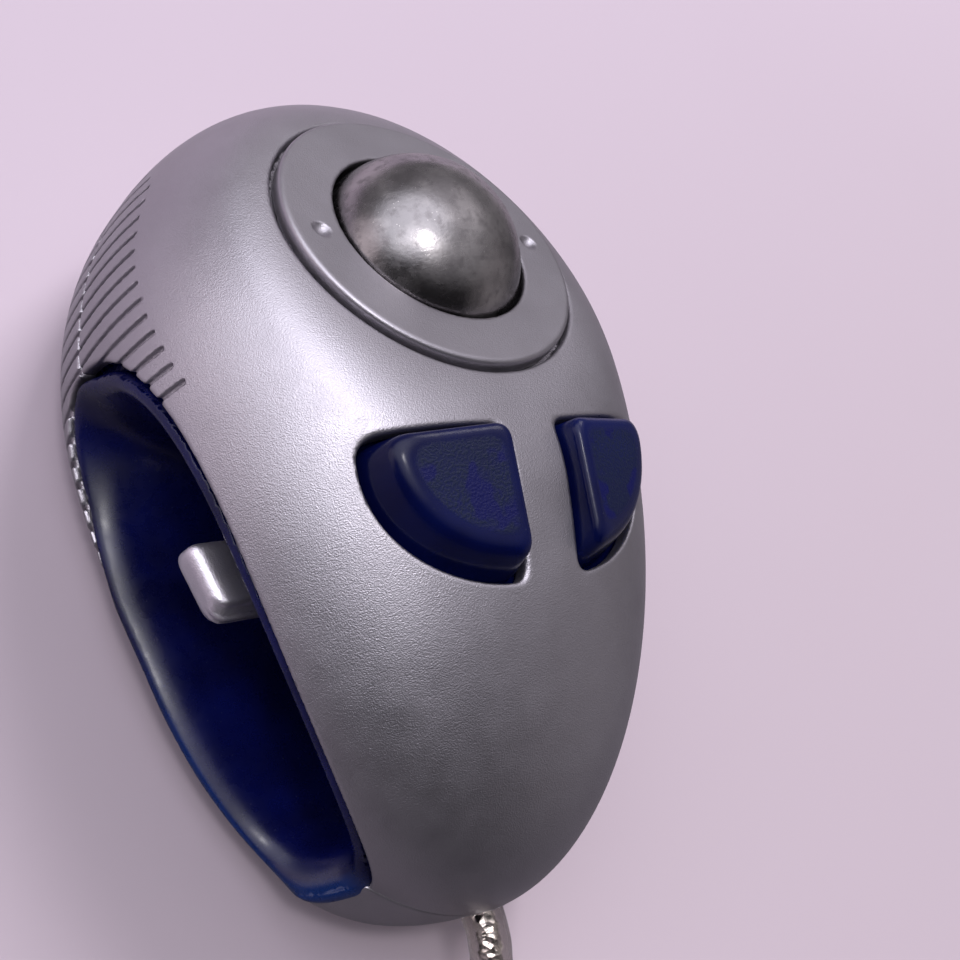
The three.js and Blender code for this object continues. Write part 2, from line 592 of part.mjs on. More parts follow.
function ballCup() {
  const centre = BALL.toArray();
  const outer = solid(new THREE.SphereGeometry(CUP_R + CUP_WALL, 20, 12)).translate(centre);
  const hollow = solid(new THREE.SphereGeometry(CUP_R, 20, 12)).translate(centre);
  const plate = common(box(PLATE.low, PLATE.high), egg(WALL + 0.6));
  const posts = [
    bearingPost("x", PITCH_SPAN[0] + 0.8, PITCH_Y), bearingPost("x", PITCH_SPAN[1] - 0.8, PITCH_Y),
    bearingPost("y", ROLL_X, ROLL_SPAN[0] + 0.8), bearingPost("y", ROLL_X, ROLL_SPAN[1] - 0.8),
  ];
  const pitchWindow = box([-3, PITCH_Y - 5, ROLLER_Z - 2.4], [3, PITCH_Y + 2.4, ROLLER_Z + 2.6]);
  const rollWindow = box([ROLL_X - 2.4, BALL.y - 3, ROLLER_Z - 2.4], [ROLL_X + 5, BALL.y + 3, ROLLER_Z + 2.6]);
  const shaftHoles = [
    rod([PITCH_SPAN[0] - 1, PITCH_Y, ROLLER_Z], [PITCH_SPAN[1] + 1, PITCH_Y, ROLLER_Z], SHAFT_R + 0.15, 10),
    rod([ROLL_X, ROLL_SPAN[0] - 1, ROLLER_Z], [ROLL_X, ROLL_SPAN[1] + 1, ROLLER_Z], SHAFT_R + 0.15, 10),
  ];
  return cut(
    join(common(outer, onDeck(below(CUP_RIM))), plate, ...posts),
    hollow, pitchWindow, rollWindow, ...shaftHoles,
    solid(new THREE.SphereGeometry(BEAD_R + 0.12, 10, 8)).translate(BEAD),
  );
}

piece("ball_cup", ballCup(), BLACK);
piece("support_bead", solid(new THREE.SphereGeometry(BEAD_R, 10, 8)).translate(BEAD), WHITE);

// ---- Emitters and detectors ---------------------------------------------------------------------
// A side-looking lamp or sensor: a small block with a lens dome, looking along +Y from its own origin.
function opticBlock() {
  const block = box([-1.6, -1.4, 0], [1.6, 0, 4]);
  const lens = solid(new THREE.SphereGeometry(0.9, 10, 8)).translate([0, 0, 2.7]);
  return join(block, lens);
}

// Where each wheel's light beam crosses it, outside the hub and over the plate.
const OPTIC_GAP = 1.6;
const OPTIC_Z = PLATE.high[2] + 0.1;
const OPTICS = [
  { name: "pitch_emitter", x: WHEEL_OFFSET - OPTIC_GAP, y: PITCH_Y + 1.2, turn: -Math.PI / 2, material: AMBER },
  { name: "pitch_detector", x: WHEEL_OFFSET + OPTIC_GAP, y: PITCH_Y + 1.2, turn: Math.PI / 2, material: SMOKE },
  { name: "roll_emitter", x: ROLL_X - 1.4, y: WHEEL_Y - OPTIC_GAP, turn: 0, material: AMBER },
  { name: "roll_detector", x: ROLL_X - 1.4, y: WHEEL_Y + OPTIC_GAP, turn: Math.PI, material: SMOKE },
];

// ---- Thumb buttons ------------------------------------------------------------------------------
// A flat-topped cap over a flange, with an arm back to the pivot rod and a stem down to its switch.
const STEM_BOTTOM = BOARD_TOP + SWITCH_HEIGHT + 1.1;

function thumbButton(side) {
  const top = solid(new THREE.BoxGeometry(REACH, REACH, REACH)
    .translate(0, 0, -REACH / 2)
    .rotateX(Math.atan(BUTTON_TOP_SLOPE))
    .rotateY(side * Math.atan(BUTTON_SIDE_SLOPE))
    .translate(side * BUTTON_INNER_X, BUTTON_REAR_Y, BUTTON_TOP_Z));
  const frontSlope = solid(new THREE.BoxGeometry(REACH, REACH, REACH)
    .translate(0, 0, -REACH / 2)
    .rotateX(BUTTON_FRONT_SLOPE)
    .translate(0, BUTTON_ARC.y - BUTTON_ARC.ry + 1.2, BUTTON_TOP_Z - 4.6));
  const cap = cut(common(buttonBar(side, -BUTTON_GAP), top, frontSlope), egg(WALL + 1.4));
  const flange = common(buttonBar(side, FLANGE_GROW), cut(egg(WALL + GAP), egg(WALL + 1.1)));
  const x = side * SWITCH_X;
  const arm = box([x - ARM_HALF, ROD_Y - 5, ROD_Z - EYE_R], [x + ARM_HALF, ROD_Y - 0.3, CROWN]);
  const eye = rod([x - ARM_HALF, ROD_Y, ROD_Z], [x + ARM_HALF, ROD_Y, ROD_Z], EYE_R, 14);
  const stem = rod([x, SWITCH_Y, STEM_BOTTOM], [x, SWITCH_Y, STEM_BOTTOM + STEM_LENGTH], STEM_R, 12);
  const limited = common(join(arm, eye, stem), egg(WALL + GAP));
  const hole = rod([-REACH, ROD_Y, ROD_Z], [REACH, ROD_Y, ROD_Z], ROD_R + TURNING_FIT);
  return cut(join(cap, flange, limited), hole);
}

piece("left_button", thumbButton(-1), BLUE);
piece("right_button", thumbButton(1), BLUE);
piece("button_pivot_rod", rod([-ROD_HALF, ROD_Y, ROD_Z], [ROD_HALF, ROD_Y, ROD_Z], ROD_R), STEEL);

// ---- Trigger ------------------------------------------------------------------------------------
// A wide bar that hangs in the tunnel from its pin, on a neck through the slot, with a tab that pushes
// the switch. Its profile is in the YZ plane, with a bulging pad at the front, and its ends slant with
// the sides of the case.
function trigger() {
  const [front, rear, top, bottom] = [TRIGGER_FRONT, TRIGGER_REAR, TRIGGER_TOP, TRIGGER_BOTTOM];
  const middle = (top + bottom) / 2;
  const profile = new THREE.Shape();
  profile.moveTo(front + 0.6, top);
  profile.quadraticCurveTo(front, top, front - 0.3 * TRIGGER_PAD_BULGE, top - 0.6);
  profile.quadraticCurveTo(front - 1.3 * TRIGGER_PAD_BULGE, middle, front + 0.6, bottom);
  profile.lineTo(rear - 1.2, bottom);
  profile.quadraticCurveTo(rear, bottom, rear, middle);
  profile.quadraticCurveTo(rear, top, rear - 1.2, top);
  profile.closePath();
  const round = TRIGGER_END_ROUND;
  const bar = new THREE.ExtrudeGeometry(profile, {
    depth: 2 * (TRIGGER_HALF_WIDTH - round),
    curveSegments: 4,
    bevelThickness: round,
    bevelSize: 0.5,
    bevelOffset: -0.5,
    bevelSegments: 3,
  });
  bar.translate(0, 0, round - TRIGGER_HALF_WIDTH).applyMatrix4(PROFILE_TO_YZ);
  const place = bar.attributes.position;
  for (let i = 0; i < place.count; i++) {
    const slant = Math.sign(place.getX(i)) * TRIGGER_END_SLANT * (place.getY(i) - PIN_Y);
    place.setX(i, place.getX(i) + slant);
  }
  const neck = box([-NECK_HALF, PIN_Y - 2.6, middle], [NECK_HALF, PIN_Y + 2.2, PIN_Z + 1.9]);
  const tab = box([-TAB_HALF, TRIGGER_TAB_FRONT, PIN_Z - 1], [TAB_HALF, PIN_Y, TRIGGER_TAB_TOP]);
  const hole = rod([-NECK_HALF - 1, PIN_Y, PIN_Z], [NECK_HALF + 1, PIN_Y, PIN_Z], PIN_R + TURNING_FIT, 12);
  return cut(join(solid(bar), neck, tab), hole);
}

piece("trigger", trigger(), SILVER);
piece("trigger_pin", rod([PIN_SPAN[0], PIN_Y, PIN_Z], [PIN_SPAN[1], PIN_Y, PIN_Z], PIN_R), STEEL);

// A torsion spring round the free end of the pin, outside the right-hand lug.
function triggerSpring() {
  const TURNS = 3;
  const COIL_R = 1.75;
  const coil = new THREE.Curve();
  coil.getPoint = (share, target = new THREE.Vector3()) => target.set(
    10.2 + share * 2.4, PIN_Y + COIL_R * Math.cos(share * TURNS * 2 * Math.PI),
    PIN_Z + COIL_R * Math.sin(share * TURNS * 2 * Math.PI));
  const wire = new THREE.Shape().absarc(0, 0, 0.26, 0, 2 * Math.PI);
  return solid(new THREE.ExtrudeGeometry(wire, {
    extrudePath: coil, steps: 11 * TURNS, curveSegments: 3, bevelEnabled: false,
  }));
}

piece("trigger_spring", triggerSpring(), STEEL);

// ---- Board and what stands on it ----------------------------------------------------------------
const BOARD = { rear: -4.5, front: -32.5, rearHalf: 17.5, frontHalf: 10.5 };

function mainBoard() {
  const outline = new THREE.Shape();
  outline.moveTo(-BOARD.rearHalf, BOARD.rear);
  outline.lineTo(-BOARD.rearHalf, -20);
  outline.lineTo(-BOARD.frontHalf, BOARD.front);
  outline.lineTo(BOARD.frontHalf, BOARD.front);
  outline.lineTo(BOARD.rearHalf, -20);
  outline.lineTo(BOARD.rearHalf, BOARD.rear);
  outline.closePath();
  const slab = solid(new THREE.ExtrudeGeometry(outline, { depth: BOARD_THICKNESS, bevelEnabled: false })
    .translate(0, 0, BOARD_Z));
  return cut(
    slab,
    box([-13.4, SLOT.front - 0.3, 10], [13.4, SLOT.rear + 0.3, 20]),
    ...BOARD_SCREWS.map(({ x }) => rod([x, BOARD_SCREW_Y, 10], [x, BOARD_SCREW_Y, 20], SCREW_HOLE_R, 10)),
  );
}

// A square switch body with a round well for its plunger, along +Z from its own origin.
function switchBody(half) {
  const body = box([-half, -half, 0.05], [half, half, SWITCH_HEIGHT]);
  return cut(body, rod([0, 0, 1], [0, 0, SWITCH_HEIGHT + 1], PLUNGER_R + 0.15, 14));
}
const plunger = () => rod([0, 0, 1.9], [0, 0, SWITCH_HEIGHT + 1], PLUNGER_R, 14);
const TRIGGER_SWITCH_FRONT = TRIGGER_TAB_FRONT - 0.1 - SWITCH_HEIGHT - 1;

piece("main_board", mainBoard(), BOARD_GREEN);
for (const [name, side] of [["left", -1], ["right", 1]]) {
  piece(`${name}_switch`, switchBody(BUTTON_SWITCH_HALF).translate([side * SWITCH_X, SWITCH_Y, BOARD_TOP]), BLACK);
  piece(`${name}_switch_plunger`, plunger().translate([side * SWITCH_X, SWITCH_Y, BOARD_TOP]), WHITE);
}
const triggerSwitchFrame = frameAlong([0, 1, 0], [0, TRIGGER_SWITCH_FRONT, BOARD_TOP + TRIGGER_SWITCH_HALF + 0.1]);
piece("trigger_switch", switchBody(TRIGGER_SWITCH_HALF), BLACK, triggerSwitchFrame);
piece("trigger_switch_plunger", plunger(), WHITE, triggerSwitchFrame);
piece("controller_chip", box([-5, -31, BOARD_Z - 1.4], [5, -24.5, BOARD_Z - 0.1]), BLACK);
piece("clock_crystal", box([-17, -19, BOARD_TOP + 0.05], [-14, -13, BOARD_TOP + 1.3]), STEEL);
piece("capacitor", rod([15.5, -15.5, BOARD_TOP + 0.05], [15.5, -15.5, BOARD_TOP + 1.9], 1.8, 14), SMOKE);
piece("cable_connector", box([-4.6, -31.6, BOARD_TOP + 0.05], [4.6, -27.9, BOARD_TOP + 2.2]), WHITE);
for (const { name, x } of BOARD_SCREWS) {
  const upright = screw(0, 0, 0, 3.2);
  piece(name, upright.rotate([180, 0, 0]).translate([x, BOARD_SCREW_Y, BOARD_TOP + 0.1]), STEEL);
}
for (const { name, x, y, turn, material } of OPTICS) {
  piece(name, opticBlock().rotate([0, 0, THREE.MathUtils.radToDeg(turn)]).translate([x, y, OPTIC_Z]), material);
}

// ---- Cable --------------------------------------------------------------------------------------
// The cable leaves the nose level, then sags until it lies on the surface that the mouse stands on.
const CABLE_INNER_R = 1.55;
const BRAID_R = 1.4;
const BRAID_INNER_R = 1.12;
const WIRE_R = 0.3;
const WIRE_OFFSET = 0.37;
const CABLE_START_Y = -45.4;
const CABLE_END_Y = -NOSE - CABLE_STUB;
const CABLE_REST_Z = -BASE_DEPTH + CABLE_R + 0.15;
const cablePath = new THREE.CurvePath();
cablePath.add(new THREE.LineCurve3(
  new THREE.Vector3(0, CABLE_START_Y, CABLE_Z), new THREE.Vector3(0, -NOSE - 1, CABLE_Z)));
cablePath.add(new THREE.CubicBezierCurve3(
  new THREE.Vector3(0, -NOSE - 1, CABLE_Z), new THREE.Vector3(0, -NOSE - 8, CABLE_Z),
  new THREE.Vector3(0, -NOSE - 11, CABLE_REST_Z), new THREE.Vector3(0, CABLE_END_Y, CABLE_REST_Z)));

// A round tube, or a round bar if the inner radius is zero, along a path.
function tube(path, outer, inner, steps, curveSegments) {
  const ring = new THREE.Shape().absarc(0, 0, outer, 0, 2 * Math.PI);
  if (inner) ring.holes.push(new THREE.Path().absarc(0, 0, inner, 0, 2 * Math.PI, true));
  return solid(new THREE.ExtrudeGeometry(ring, { extrudePath: path, steps, curveSegments, bevelEnabled: false }));
}

// The braid is cut back a little behind the jacket's inner end.
const braidPath = new THREE.CurvePath();
braidPath.add(new THREE.LineCurve3(
  new THREE.Vector3(0, CABLE_START_Y - 1, CABLE_Z), new THREE.Vector3(0, -NOSE - 1, CABLE_Z)));
braidPath.add(cablePath.curves[1]);

piece("cable_jacket", tube(cablePath, CABLE_R, CABLE_INNER_R, 16, 5), CLEAR);
piece("cable_braid", tube(braidPath, BRAID_R, BRAID_INNER_R, 16, 4), FOIL);

// Each wire runs along the cable, beside its axis, then fans out up over the tunnel to the connector.
const WIRES = [
  { colour: "red", side: 1, level: 1, fan: 1.1 },
  { colour: "white", side: -1, level: 1, fan: -1.1 },
  { colour: "green", side: 1, level: -1, fan: 3.3 },
  { colour: "black", side: -1, level: -1, fan: -3.3 },
];

// A point of the cable's path, moved sideways and along the path's own upright direction.
function besideCable(share, side, level) {
  const tangent = cablePath.getTangent(share);
  const upright = new THREE.Vector3(0, tangent.z, -tangent.y);
  return cablePath.getPoint(share).addScaledVector(upright, level * WIRE_OFFSET)
    .add(new THREE.Vector3(side * WIRE_OFFSET, 0, 0));
}

for (const { colour, side, level, fan } of WIRES) {
  const inCable = [1, 0.86, 0.72, 0.58, 0.44, 0.3, 0.15, 0.03].map((share) => besideCable(share, side, level));
  const wirePath = new THREE.CatmullRomCurve3([
    ...inCable,
    new THREE.Vector3(side * WIRE_OFFSET, CABLE_START_Y + 0.4, CABLE_Z + level * WIRE_OFFSET),
    new THREE.Vector3(fan * 0.5, -43.9, 1.2), new THREE.Vector3(fan * 0.8, -42.4, 7),
    new THREE.Vector3(fan, -38.6, 12.4), new THREE.Vector3(fan, -35, BOARD_TOP + 0.7),
    new THREE.Vector3(fan, -31.75, BOARD_TOP + 1.1),
  ]);
  piece(`wire_${colour}`, tube(wirePath, WIRE_R, 0, 20, 3), paint(wireColour[colour], 0.5));
}

// A clamp block round the jacket, inside the nose.
piece("strain_relief", cut(
  box([-3.3, -49.2, -6.2], [3.3, -46.3, 1.4]),
  rod([0, -60, CABLE_Z], [0, -40, CABLE_Z], CABLE_R + 0.12),
), BLACK);

export default mouse;
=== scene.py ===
"""Looks of a handheld trackball mouse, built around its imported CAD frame.

X runs across the mouse, -Y points to the cable end (the nose), +Z is up. Shapes are worked out in
millimetres, with heights measured from the seam between the two shells, and are then moved up by
BASE_DEPTH into the row frame. Curved pieces are written as distance fields, meshed on a fine grid and
pulled onto the exact surface.
"""
import json
import math

import bpy
import numpy as np
import openvdb
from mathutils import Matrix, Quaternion, Vector


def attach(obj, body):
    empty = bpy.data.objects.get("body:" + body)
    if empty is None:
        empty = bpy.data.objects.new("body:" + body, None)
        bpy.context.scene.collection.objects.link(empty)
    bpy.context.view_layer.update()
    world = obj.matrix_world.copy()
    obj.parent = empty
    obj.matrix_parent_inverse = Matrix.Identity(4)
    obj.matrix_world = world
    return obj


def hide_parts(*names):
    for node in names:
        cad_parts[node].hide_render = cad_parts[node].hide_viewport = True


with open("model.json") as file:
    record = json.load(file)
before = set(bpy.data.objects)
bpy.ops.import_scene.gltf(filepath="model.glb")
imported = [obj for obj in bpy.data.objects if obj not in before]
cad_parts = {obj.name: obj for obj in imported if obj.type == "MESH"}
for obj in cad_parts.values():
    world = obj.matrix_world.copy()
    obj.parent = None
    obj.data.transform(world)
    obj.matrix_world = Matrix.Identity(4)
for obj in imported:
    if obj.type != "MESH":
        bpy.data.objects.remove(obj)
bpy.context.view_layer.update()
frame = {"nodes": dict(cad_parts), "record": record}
MM = 0.001

# ---- Dimensions ----------------------------------------------------------------------------------
HALF_WIDTH = 29.75
NOSE = 52.85
TAIL = 36.55
CROWN = 29
CROWN_Y = -1.4
KEEL = 17
BASE_DEPTH = 14
SECTION_POWER = 2.235
PLAN_POWER = 2
CROWN_NOSE_POWER = 1.67
CROWN_TAIL_POWER = 2.14
KEEL_POWER = 3.2
KEEL_SECTION_POWER = 2.9
KEEL_FILL_START_Y = -22
KEEL_FILL_END_Y = 2
CHIN_POWER = 2.65
CHIN_DEPTH = 7
WALL = 2
TIP_WALL = 3
SEAM = 0.24

BALL_R = 11
BALL_HOLLOW_R = 8.5
BALL_VENT_R = 0.7
BALL_SINK = 4.06
RING_R = 16.45
RING_BORE_R = 10.7
RING_THICKNESS = 1.8
RING_PROUD = 0.75
RING_Y = 11
RING_Z = 23
RING_TILT = math.radians(13.2)
SEAT_R = 16.85
SEAT_FLOOR = -2.0
LEDGE_R = 18.8
LEDGE_BORE_R = 14.6
LEDGE_BOTTOM = -3.4
WELL_DEPTH = 8
SKIRT_R = 14.3
SKIRT_BOTTOM = -4.6
DIMPLE_X = 13.3
DIMPLE_R = 1.05

MOUTH = dict(y=-13, z=0, rear=20.5, front=33.5, top=13.3, bottom=8)
BORE = dict(MOUTH, rear=18.9, front=31.9, top=11.5, bottom=6.5)
MOUTH_DROOP = 0.4
MOUTH_REAR_POWER = 2.25
MOUTH_UPPER_POWER = 1.72
MOUTH_LOWER_POWER = 3.5
THROAT = dict(MOUTH, y=-20, rear=17, front=21, top=11, bottom=7.2)
LINER_WALL = 1.2
LINER_SUNK = 0.9
LIP_SUNK_BELOW = 0.1
LIP_PROUD = 0.3
LIP_ROLL = 1.1
LIP_ROLL_DEPTH = 4
LIP_OVERLAP = 0.9
LIP_GAP = 0.2
LIP_EXTRA_GAP_ABOVE = 0.6
MOUTH_START_X = 8.6
TUNNEL_SLOT_HALF = (5, 4.2)
TUNNEL_SLOT_Y = -15.6
TUNNEL_SLOT_BOTTOM = 8

CABLE_R = 2.22
FOIL_R = 1.12
CABLE_Z = -2.35
CABLE_HOLE_R = 2.5
CABLE_HOLE_DEPTH = 9
CABLE_BEND = [(0, -53.9, CABLE_Z), (0, -60.9, CABLE_Z), (0, -63.9, -11.6), (0, -76.9, -11.6)]
CABLE_START_Y = -45.4

# Case screws: half their spacing, how far back they are and the height of the head's seat.
SCREWS = ((19, 15, -9.6), (5.9, -47.4, -7.4))
SCREW_POST_R = 2.4
SCREW_HEAD_R = 1.8
SCREW_HOLE_R = 1.2

BUTTON_INNER_X = 3.4
BUTTON_REAR_Y = -11.2
BUTTON_REAR_SLANT = 0.04
BUTTON_ARC_Y = -13
BUTTON_RX = 14.1
BUTTON_RY = 12.5
BUTTON_TOP_Z = 29.7
BUTTON_TOP_SLOPE = 0.2
BUTTON_SIDE_SLOPE = 0.24
BUTTON_DRAFT = 0.15
BUTTON_GAP = 0.75
ROD_Y = -8
ROD_Z = 21
PIVOT_HOLE_R = 1.05
EYE_R = 1.7
ARM_MIDDLE = (9.5, -10.4, 24)
ARM_HALF = (2, 2.6, 4.7)
STEM_Y = -21
STEM_R = 1.5
STEM_MIDDLE_Z = 20.8
STEM_HALF_HEIGHT = 1.9

RIB_FIRST_Y = -0.56
RIB_PITCH = 2.08
RIB_COUNT = 16
RIB_LEAN = 0.14
RIB_LEVEL_Z = 12
RIB_HALF = 0.23
RIB_DEPTH = 0.45
RIB_END_Y = 22
RIB_END_Z = 9.1
RIB_END_RISE = 5

TRIGGER_HALF_WIDTH = 24.8
TRIGGER_END_SLANT = 0.22
TRIGGER_TOP = 5.2
TRIGGER_BOTTOM = 1.2
TRIGGER_REAR = -12.2
TRIGGER_FRONT = -18.8
PIN_Y = -15.5
PIN_Z = 15.2
NECK_MIDDLE = (0, -15.7, 10)
NECK_HALF = (4.2, 2.4, 7.1)
TAB_MIDDLE = (0, -17.2, 16.8)
TAB_HALF = (2, 1.7, 2.6)
PAD_RIDGE_PITCH = 0.85

DECK_AXIS = Vector((0, math.sin(RING_TILT), math.cos(RING_TILT)))
BALL = Vector((0, RING_Y, RING_Z)) - DECK_AXIS * BALL_SINK
TINY = 1e-5


# ---- Fields: each gives a distance in millimetres, below zero inside -----------------------------
def smooth_max(a, b, blend):
    """The common part of two fields, with the edge between them rounded over a distance."""
    share = np.clip(0.5 + (a - b) / (2 * blend), 0, 1)
    return b + (a - b) * share + blend * share * (1 - share)


def smooth_min(a, b, blend):
    """Two fields joined, with a fillet between them."""
    return -smooth_max(-a, -b, blend)


def block(x, y, z, middle, half):
    """A plain box, from its middle and half its size."""
    across = np.maximum(np.abs(x - middle[0]) - half[0], np.abs(y - middle[1]) - half[1])
    return np.maximum(across, np.abs(z - middle[2]) - half[2])


def fall(share, power):
    """A superellipse's height over its base, and how fast its logarithm falls with the share."""
    left = np.maximum(1 - np.abs(share) ** power, TINY)
    return left ** (1 / power), np.abs(share) ** (power - 1) * np.sign(share) / left


def plan_width(y, z):
    """The case's width over its widest, blunter at the front below the seam, and its fall."""
    share = y / np.where(y < 0, NOSE, TAIL)
    plan, plan_fall = fall(share, PLAN_POWER)
    chin, chin_fall = fall(share, CHIN_POWER)
    depth = np.where(y < 0, np.clip(-z / CHIN_DEPTH, 0, 1), 0)
    swell = depth * depth * (3 - 2 * depth)
    return plan + (chin - plan) * swell, plan_fall + (chin_fall - plan_fall) * swell


def section_power(y, z):
    """The power of the case's section, fuller below the seam at the rear and in the middle."""
    fill = np.clip((y - KEEL_FILL_START_Y) / (KEEL_FILL_END_Y - KEEL_FILL_START_Y), 0, 1)
    fill = np.where(z < 0, fill * fill * (3 - 2 * fill), 0)
    return SECTION_POWER + (KEEL_SECTION_POWER - SECTION_POWER) * fill


def egg(x, y, z):
    """The skin of the case, without the deck."""
    end = np.where(y < 0, NOSE, TAIL)
    plan, plan_fall = plan_width(y, z)
    offset = y - CROWN_Y
    reach = np.where(offset < 0, NOSE + CROWN_Y, TAIL - CROWN_Y)
    power = np.where(offset < 0, CROWN_NOSE_POWER, CROWN_TAIL_POWER)
    crown, crown_fall = fall(offset / reach, power)
    keel, keel_fall = fall(y / end, KEEL_POWER)
    upper = z > 0
    height = np.where(upper, CROWN * crown, KEEL * keel)
    height_fall = np.where(upper, crown_fall / reach, keel_fall / end)
    power = section_power(y, z)
    across = np.abs(x) ** (power - 1) / (HALF_WIDTH * plan) ** power
    upright = np.abs(z) ** (power - 1) / height**power
    a = across * np.abs(x)
    b = upright * np.abs(z)
    total = a + b + 1e-9
    level = total ** (1 / power)
    steepness = np.sqrt(across**2 + upright**2 + (a * plan_fall / end + b * height_fall) ** 2)
    distance = (level - 1) * total / (level * steepness + 1e-12)
    return np.maximum(distance, np.maximum(y - TAIL, -NOSE - y))


def deck_frame(x, y, z):
    """Height above the ring's upper face and distance from its axis."""
    back = y - RING_Y
    up = z - RING_Z
    height = back * DECK_AXIS.y + up * DECK_AXIS.z
    along = back * DECK_AXIS.z - up * DECK_AXIS.y
    return height, np.sqrt(x * x + along * along)


def skin(x, y, z):
    """The case's outer surface: the egg flattened by the deck round the ring."""
    height, _ = deck_frame(0 * x, y, z)
    return smooth_max(egg(x, y, z), height + RING_PROUD, 2.5)


def cavity(outer, y):
    """The room inside the case, which ends short of its two tips."""
    return np.maximum(outer + WALL, np.maximum(y - TAIL, -NOSE - y) + TIP_WALL)


def oval(y, z, mid_y, mid_z, rear, front, top, bottom):
    """The finger tunnel's outline in the YZ plane, with its own power in each quadrant."""
    back = y - mid_y
    up = z - mid_z
    front_power = np.where(up > 0, MOUTH_UPPER_POWER, MOUTH_LOWER_POWER)
    power = np.where(back > 0, MOUTH_REAR_POWER, front_power)
    share = np.clip(-back / front, 0, 1)
    up = up / np.where(up < 0, 1 + MOUTH_DROOP * share * share, 1)
    along = np.abs(back) ** (power - 1) / np.where(back > 0, rear, front) ** power
    upright = np.abs(up) ** (power - 1) / np.where(up > 0, top, bottom) ** power
    total = along * np.abs(back) + upright * np.abs(up) + 1e-9
    level = total ** (1 / power)
    return (level - 1) * total / (level * np.sqrt(along**2 + upright**2) + 1e-12)


def mouth(y, z, grow=0):
    """The outline of the opening in the case's side, grown outwards by a distance."""
    reach = {key: MOUTH[key] + grow for key in ("rear", "front", "top", "bottom")}
    return oval(y, z, MOUTH["y"], MOUTH["z"], **reach)


def mouth_cut(x, y, z, grow=0):
    """The opening, cut in from both sides as far as the middle of the nose."""
    return np.maximum(mouth(y, z, grow), MOUTH_START_X - np.abs(x))


def cable_cut(x, y, z):
    """The hole in the nose for the cable."""
    from_cable = np.sqrt(x * x + (z - CABLE_Z) ** 2)
    return np.maximum(from_cable - CABLE_HOLE_R, y + NOSE - CABLE_HOLE_DEPTH)


def bore(x, y, z):
    """The finger tunnel's inner surface, which widens from the throat to both mouths."""
    end = np.where(y < 0, NOSE, TAIL)
    width = HALF_WIDTH * plan_width(y, z)[0]
    height = np.where(z > 0, CROWN, KEEL) * fall(y / end, KEEL_POWER)[0]
    section = fall(np.minimum(np.abs(z) / height, 1), section_power(y, z))[0]
    share = np.minimum(np.abs(x) / (width * section + TINY), 1) ** 3
    mixed = {key: THROAT[key] + (BORE[key] - THROAT[key]) * share for key in BORE}
    reach = {key: mixed[key] for key in ("rear", "front", "top", "bottom")}
    return oval(y, z, mixed["y"], mixed["z"], **reach)


def ball(x, y, z):
    """The ball, with a small moulding vent underneath."""
    from_middle = np.sqrt(x**2 + (y - BALL.y) ** 2 + (z - BALL.z) ** 2)
    shell = np.maximum(from_middle - BALL_R, BALL_HOLLOW_R - from_middle)
    vent = np.maximum(np.sqrt(x**2 + (y - BALL.y) ** 2) - BALL_VENT_R, z - BALL.z)
    return smooth_max(shell, -vent, 0.15)


def button_outline(x, y, grow, round_front=0):
    """The D of the right-hand button's cutout, grown outwards by a distance."""
    across = x - BUTTON_INNER_X
    ahead = np.minimum(y - BUTTON_ARC_Y, 0)
    reach = BUTTON_RX + grow - round_front
    depth = BUTTON_RY + grow - round_front
    level = np.sqrt((across / reach) ** 2 + (ahead / depth) ** 2) + 1e-9
    steepness = np.sqrt((across / reach**2) ** 2 + (ahead / depth**2) ** 2) / level + 1e-9
    arc = (level - 1) / steepness
    rear = y - BUTTON_REAR_Y - grow - BUTTON_REAR_SLANT * across
    inner = -across - grow
    return smooth_max(smooth_max(arc, rear, 2.2), inner, 1.6)


def rib_top(y):
    """The height at which a groove ends, which rises forwards and falls away towards the tail."""
    rise = RIB_END_RISE * np.maximum((RIB_END_Y - y) / RIB_END_Y, 0) ** 1.6
    return RIB_END_Z + rise - 0.09 * np.maximum(y - RIB_END_Y, 0) ** 2


def ribs(y, z, first, bottom):
    """Grooves across the sides of the case, with rounded ends."""
    upright = y - RIB_LEAN * (z - RIB_LEVEL_Z)
    count = np.clip(np.round((upright - RIB_FIRST_Y) / RIB_PITCH), first, RIB_COUNT - 1)
    station = RIB_FIRST_Y + count * RIB_PITCH
    past = np.maximum(z - rib_top(station), 0) + np.maximum(bottom - z, 0)
    return np.sqrt((upright - station) ** 2 + past**2) - RIB_HALF


def grooved(outer, groove):
    """The field of grooves cut into a skin."""
    return smooth_max(groove, -outer - RIB_DEPTH, 0.15)


def top_shell(x, y, z):
    """The upper half of the case, with the ring's seat, the buttons' cutouts and the grooves."""
    outer = skin(x, y, z)
    height, radius = deck_frame(x, y, z)
    wall = smooth_max(outer, -cavity(outer, y), 0.2)
    ledge = np.maximum(np.maximum(radius - LEDGE_R, height - SEAT_FLOOR), LEDGE_BOTTOM - height)
    shell = smooth_min(wall, np.maximum(ledge, outer), 0.3)
    shell = smooth_max(shell, -grooved(outer, ribs(y, z, 0, -40)), 0.2)
    seat = np.maximum(radius - SEAT_R, SEAT_FLOOR - height)
    well = np.maximum(radius - LEDGE_BORE_R, -WELL_DEPTH - height)
    shell = smooth_max(shell, -seat, 0.55)
    shell = np.maximum(shell, -well)
    shell = smooth_max(shell, -button_outline(np.abs(x), y, 0) - 12 * (z < 12), 0.6)
    shell = smooth_max(shell, -mouth_cut(x, y, z), 0.7)
    shell = smooth_max(shell, -cable_cut(x, y, z), 0.2)
    return smooth_max(shell, SEAM / 2 - z, 0.3)


